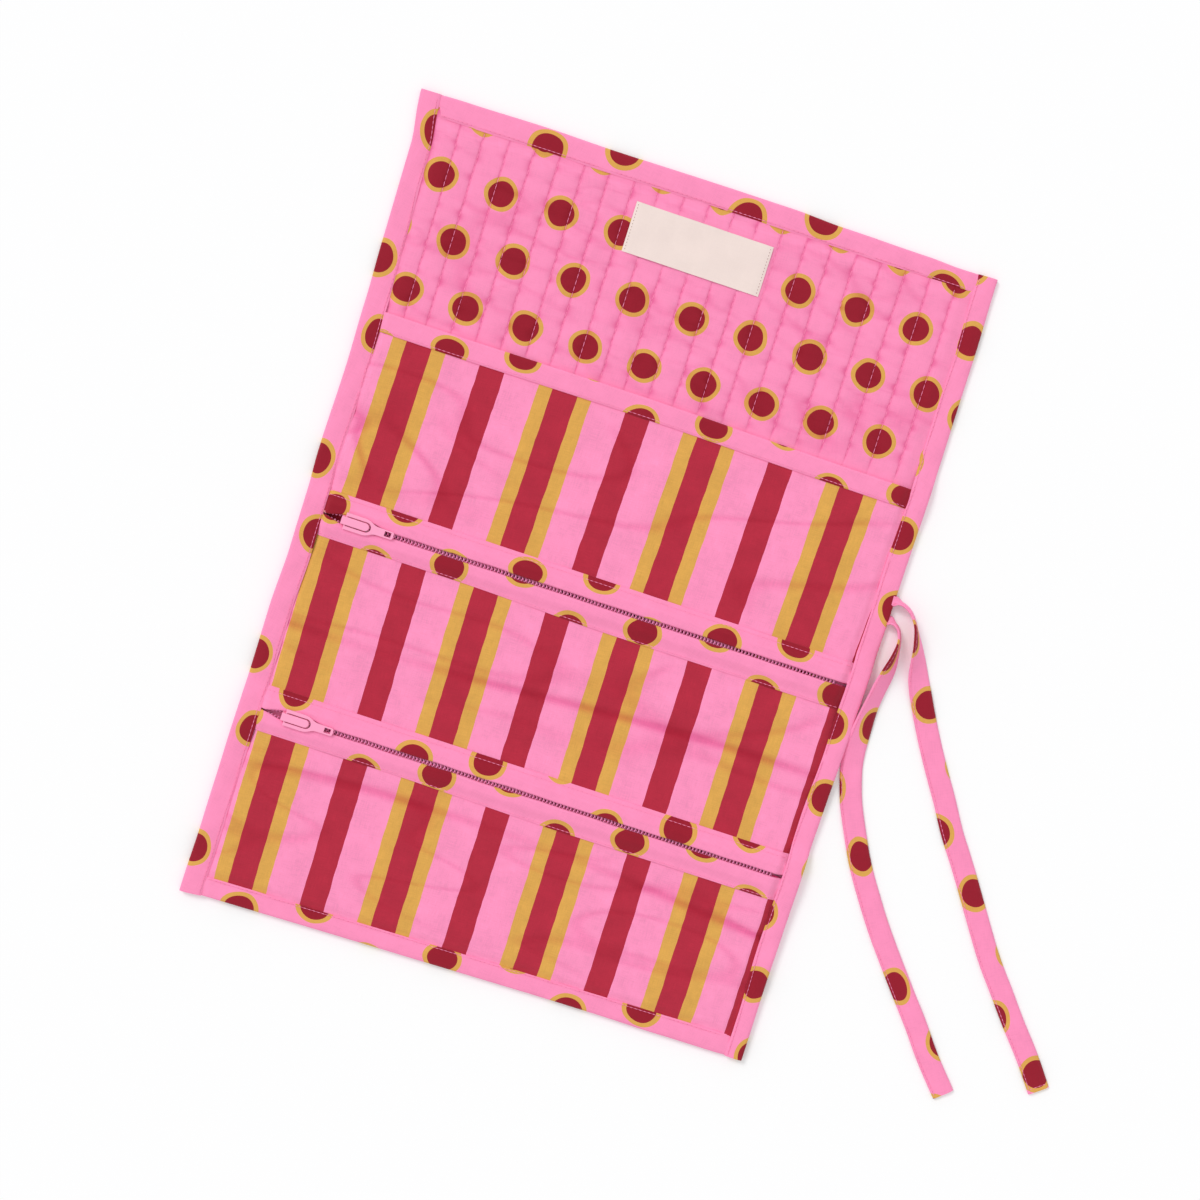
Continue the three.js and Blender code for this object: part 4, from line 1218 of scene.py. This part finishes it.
def make_bands(number):
    """The covering bands: the upper one's foot over the fold, its lip, and the lower one."""
    body, fold = ZIP_BODY[number], ZIP_FOLD[number]
    chain, join = from_chain(number, 0), from_chain(number, LIP_JOIN)
    upper_slit = from_chain(number, partial(lip_gap, number, 1))
    lower_slit = from_chain(number, lambda x: -lip_gap(number, -1, x))
    lower_line = from_chain(number, lambda x: -lower_edge(x))
    top = partial(band_top, number)

    def band(name, strip, low_at, high_at, rows, rolls, width):
        uv = partial(band_uv, number, strip)
        piece = cloth_between(
            f"zip_{number}_{name}", low_at, high_at, rows, top, uv, DOTTED, BAND_THICKNESS, *rolls)
        return piece

    foot_edge = from_chain(number, UPPER_EDGE)
    foot = band("upper_band_foot", "upper", join, foot_edge, 16, (0, FOOT_ROLL), UPPER_EDGE - LIP_JOIN)
    dress(foot, "dot_cotton", fold=fold)
    upper = band("upper_lip", "upper", upper_slit, join, 14, (LIP_ROLL, 0), UPPER_LIP_CUT)
    lower = band("lower_band_cloth", "lower", lower_line, lower_slit, 22, (LOWER_ROLL, LIP_ROLL), LOWER_CUT)
    for piece, side, label, outer in ((upper, 1, "upper", LIP_JOIN), (lower, -1, "lower", LOWER_EDGE)):
        dress(piece, "dot_cotton", f"zip_{number}_{label}_band", body=body)
        part_as_opened(piece)
    sew(f"zip_{number}_upper_stitches", top, SEAM_X, chain(SEAM_X) + UPPER_SEAM, fold=fold)
    sew(f"zip_{number}_lower_stitches", top, SEAM_X, lower_line(SEAM_X) + SEAM_INSET, body=body)


def spread_at(x):
    """How far each half of a chain stands off where the slider's wedge parts it."""
    right = CHAIN_SPREAD * ramp(x, SPREAD_END_X, NOSE_X)
    left = CHAIN_SPREAD * (1 - ramp(x, NOSE_X, -PINCHED_X))
    return np.where(x > NOSE_X, right, left)


def tube_rings(line, radius, sides):
    """Rings round a line, square to it."""
    tangent = unit(np.gradient(line, axis=0))
    side = unit(np.cross(tangent, np.array([0.3, 0.1, 0.95])))
    up = np.cross(side, tangent)
    angles = (np.arange(sides) * 2 * math.pi / sides)[None, :, None]
    return line[:, None] + radius * (side[:, None] * np.cos(angles) + up[:, None] * np.sin(angles))


def make_coil(number, side, label):
    """Half of a chain as one coiled filament, whose turns lie between those of the other half."""
    first_turn = 0.25 if side > 0 else 0.75
    turns = np.arange(0, int(2 * OPEN_X / COIL_PITCH) * COIL_STEPS) / COIL_STEPS + first_turn
    x = -OPEN_X + 1 + turns * COIL_PITCH
    x = x[x < OPEN_X - 0.6]
    angle = turns[: len(x)] * 2 * math.pi
    away = COIL_INNER + spread_at(x) + COIL_REACH * np.cos(angle)
    y = from_chain(number, 0)(x) + side * away
    line = np.stack([x, y, COIL_MIDDLE + COIL_RISE * np.sin(angle)], axis=-1)
    rings = tube_rings(line, COIL_RADIUS, COIL_SIDES)
    name = f"zip_{number}_coil_{label}"
    coil = tube(name + "_filament", rings, np.zeros(rings.shape[:2] + (2,)), COIL, 180)
    dress(coil, "zip_coil", name, body=ZIP_BODY[number])
    part_as_opened(coil)


def make_tape(number, side, label):
    """The woven tape that carries half of a chain, parted like the chain where the wedge is."""
    outer = TAPE_OUTER[side]
    inner_line = from_chain(number, lambda x: side * (TAPE_INNER + TAPE_SPREAD_SHARE * spread_at(x)))
    low_at, high_at = (inner_line, from_chain(number, side * outer))[::side]
    name = f"zip_{number}_tape_{label}"
    tape = cloth_between(
        name + "_cloth", low_at, high_at, 6, tape_top, straight_uv, TAPE_CLOTH, TAPE_THICKNESS, columns=120)
    dress(tape, "zip_tape", name, body=ZIP_BODY[number])
    part_as_opened(tape)


def finish_zip_metal(number):
    """Paints the model's own slider and pull."""
    for part in ("slider", "pull"):
        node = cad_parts[f"zip_{number}_{part}"]
        node.data.materials.clear()
        node.data.materials.append(ZIP_PAINT)


def tilted(x, y):
    """Where a line along X on the label lies once the label is sewn on at a slight tilt."""
    return y - LABEL_TILT * (x - LABEL_X)


def make_label():
    """The bare woven label, with a row of stitches at each end."""
    x, y = np.meshgrid(
        np.linspace(-0.5, 0.5, 60) * LABEL_WIDTH + LABEL_X,
        np.linspace(-0.5, 0.5, 24) * LABEL_HEIGHT + LABEL_Y, indexing="ij")
    z = label_top(x, y)
    corner = rolled(LABEL_WIDTH / 2 - np.abs(x - LABEL_X), 0.3)
    low = z - LABEL_THICKNESS
    piece = closed_sheet(
        "label_tape", x, tilted(x, y), z - 0.5 * corner, low, straight_uv(x, y), LABEL_CLOTH)
    dress(piece, "label_cloth", "label", body="flap")
    for side, end in ((-1, "left"), (1, "right")):
        y = np.linspace(-0.47, 0.47, 16) * LABEL_HEIGHT + LABEL_Y
        x = np.full(len(y), LABEL_X + side * (LABEL_WIDTH / 2 - 1.0))
        line = settled_points(x, tilted(x, y), label_top(x, y) + 0.04)
        sewn = stitches(f"label_stitches_{end}", line, share=0.5, thread=LABEL_THREAD)
        dress(sewn, "label_cloth", body="flap")


# The ties
# How each tie turns on edge past the seam and lies down again: turns in degrees, each with where it starts
# to die out and where it is gone. The edge at the left stands high.
TIE_TURNS = {"tie_outer": ((76, 12, 48),), "tie_inner": ((38, 6, 32), (38, 34, 72))}
TIE_TURNED_BY = 4
TIE_GATHERED_SHARE = 0.5
TIP_INSET = 2


def between(t, start, end, first, second):
    """The point between two at a knot value between theirs."""
    return (end - t) / (end - start) * first + (t - start) / (end - start) * second


def route_line(points, step):
    """A smooth line through the route's points, by a centripetal spline, at even steps, and how far along
    each point lies."""
    points = np.array(points, float)
    ends = np.concatenate([[2 * points[0] - points[1]], points, [2 * points[-1] - points[-2]]])
    knots = np.concatenate([[0], np.cumsum(np.sqrt(np.linalg.norm(np.diff(ends, axis=0), axis=1)))])
    pieces = []
    for k in range(1, len(ends) - 2):
        t0, t1, t2, t3 = knots[k - 1: k + 3]
        p0, p1, p2, p3 = ends[k - 1: k + 3]
        t = np.linspace(t1, t2, 24, endpoint=False)[:, None]
        a1, a2, a3 = between(t, t0, t1, p0, p1), between(t, t1, t2, p1, p2), between(t, t2, t3, p2, p3)
        pieces.append(between(t, t1, t2, between(t, t0, t2, a1, a2), between(t, t1, t3, a2, a3)))
    line = np.concatenate(pieces + [points[-1:]])
    lengths = distances_along(line)
    places = np.linspace(0, lengths[-1], int(lengths[-1] / step) + 1)
    return np.stack([np.interp(places, lengths, line[:, k]) for k in range(3)], axis=-1), places


def make_ties():
    """Flat sewn straps. Each section is a rounded bar, turned about the route by a twist that dies out."""
    for name, route in TIE_ROUTES.items():
        line, places = route_line(route, 1.0)
        turns = sum(degrees * (1 - smooth(places, begin, end)) for degrees, begin, end in TIE_TURNS[name])
        turn = np.radians(turns) * smooth(places, 0, TIE_TURNED_BY)
        half = TIE_WIDTH / 2 * mix(TIE_GATHERED_SHARE, 1, smooth(places, 3, 22))
        line[:, 2] = np.maximum(line[:, 2], np.abs(np.sin(turn)) * half + 0.15 + TIE_THICKNESS / 2)
        tangent = unit(np.gradient(line, axis=0))
        level = unit(np.cross(tangent, np.array([0, 0, 1.0])))
        up = np.cross(level, tangent)
        wide = level * np.cos(turn)[:, None] + up * np.sin(turn)[:, None]
        thick = up * np.cos(turn)[:, None] - level * np.sin(turn)[:, None]
        share = np.linspace(-1, 1, 11)
        crown = TIE_THICKNESS / 2 * np.sqrt(np.maximum(1 - np.abs(share) ** 5, 0.02))
        across = np.concatenate([share, share[::-1]])[None] * half[:, None]
        lift = np.concatenate([crown, -crown])[None] + 0.09 * waves(places[:, None], across, 130, 16, 9)
        rings = line[:, None] + wide[:, None] * across[..., None] + thick[:, None] * lift[..., None]
        uv = cut_on_slant(name, *np.broadcast_arrays(places[:, None], across))
        piece = tube(name + "_strap", rings[:, ::-1], uv[:, ::-1], DOTTED, 70)
        dress(piece, "dot_cotton", name, body="pocket_1_panel")
        face = line + thick * (TIE_THICKNESS / 2 + 0.02)
        seam = face + wide * (half - SEAM_INSET)[:, None]
        sewn = stitches(name + "_seam", seam[::2], thick[::2])
        if name == "tie_outer":
            tip = -1 - TIP_INSET
            row = face[tip] + wide[tip] * (np.linspace(-0.42, 0.42, 5) * TIE_WIDTH)[:, None]
            sewn = joined(name + "_stitches", [sewn, stitches(name + "_tip", row, thick[tip])])
        dress(sewn, "dot_cotton", body="pocket_1_panel")


make_camera()
make_ties()
make_stage()
make_quilt()
for binding_side, binding_sign in (("left", -1), ("right", 1)):
    for stretch_name in STRETCHES:
        make_side_binding(binding_side, binding_sign, stretch_name)
make_end_bindings()
make_slip_pocket()
make_zip_fronts()
for zip_number in (1, 2):
    make_bands(zip_number)
    for zip_side, side_name in SIDES:
        make_coil(zip_number, zip_side, side_name)
        make_tape(zip_number, zip_side, side_name)
    finish_zip_metal(zip_number)
make_label()
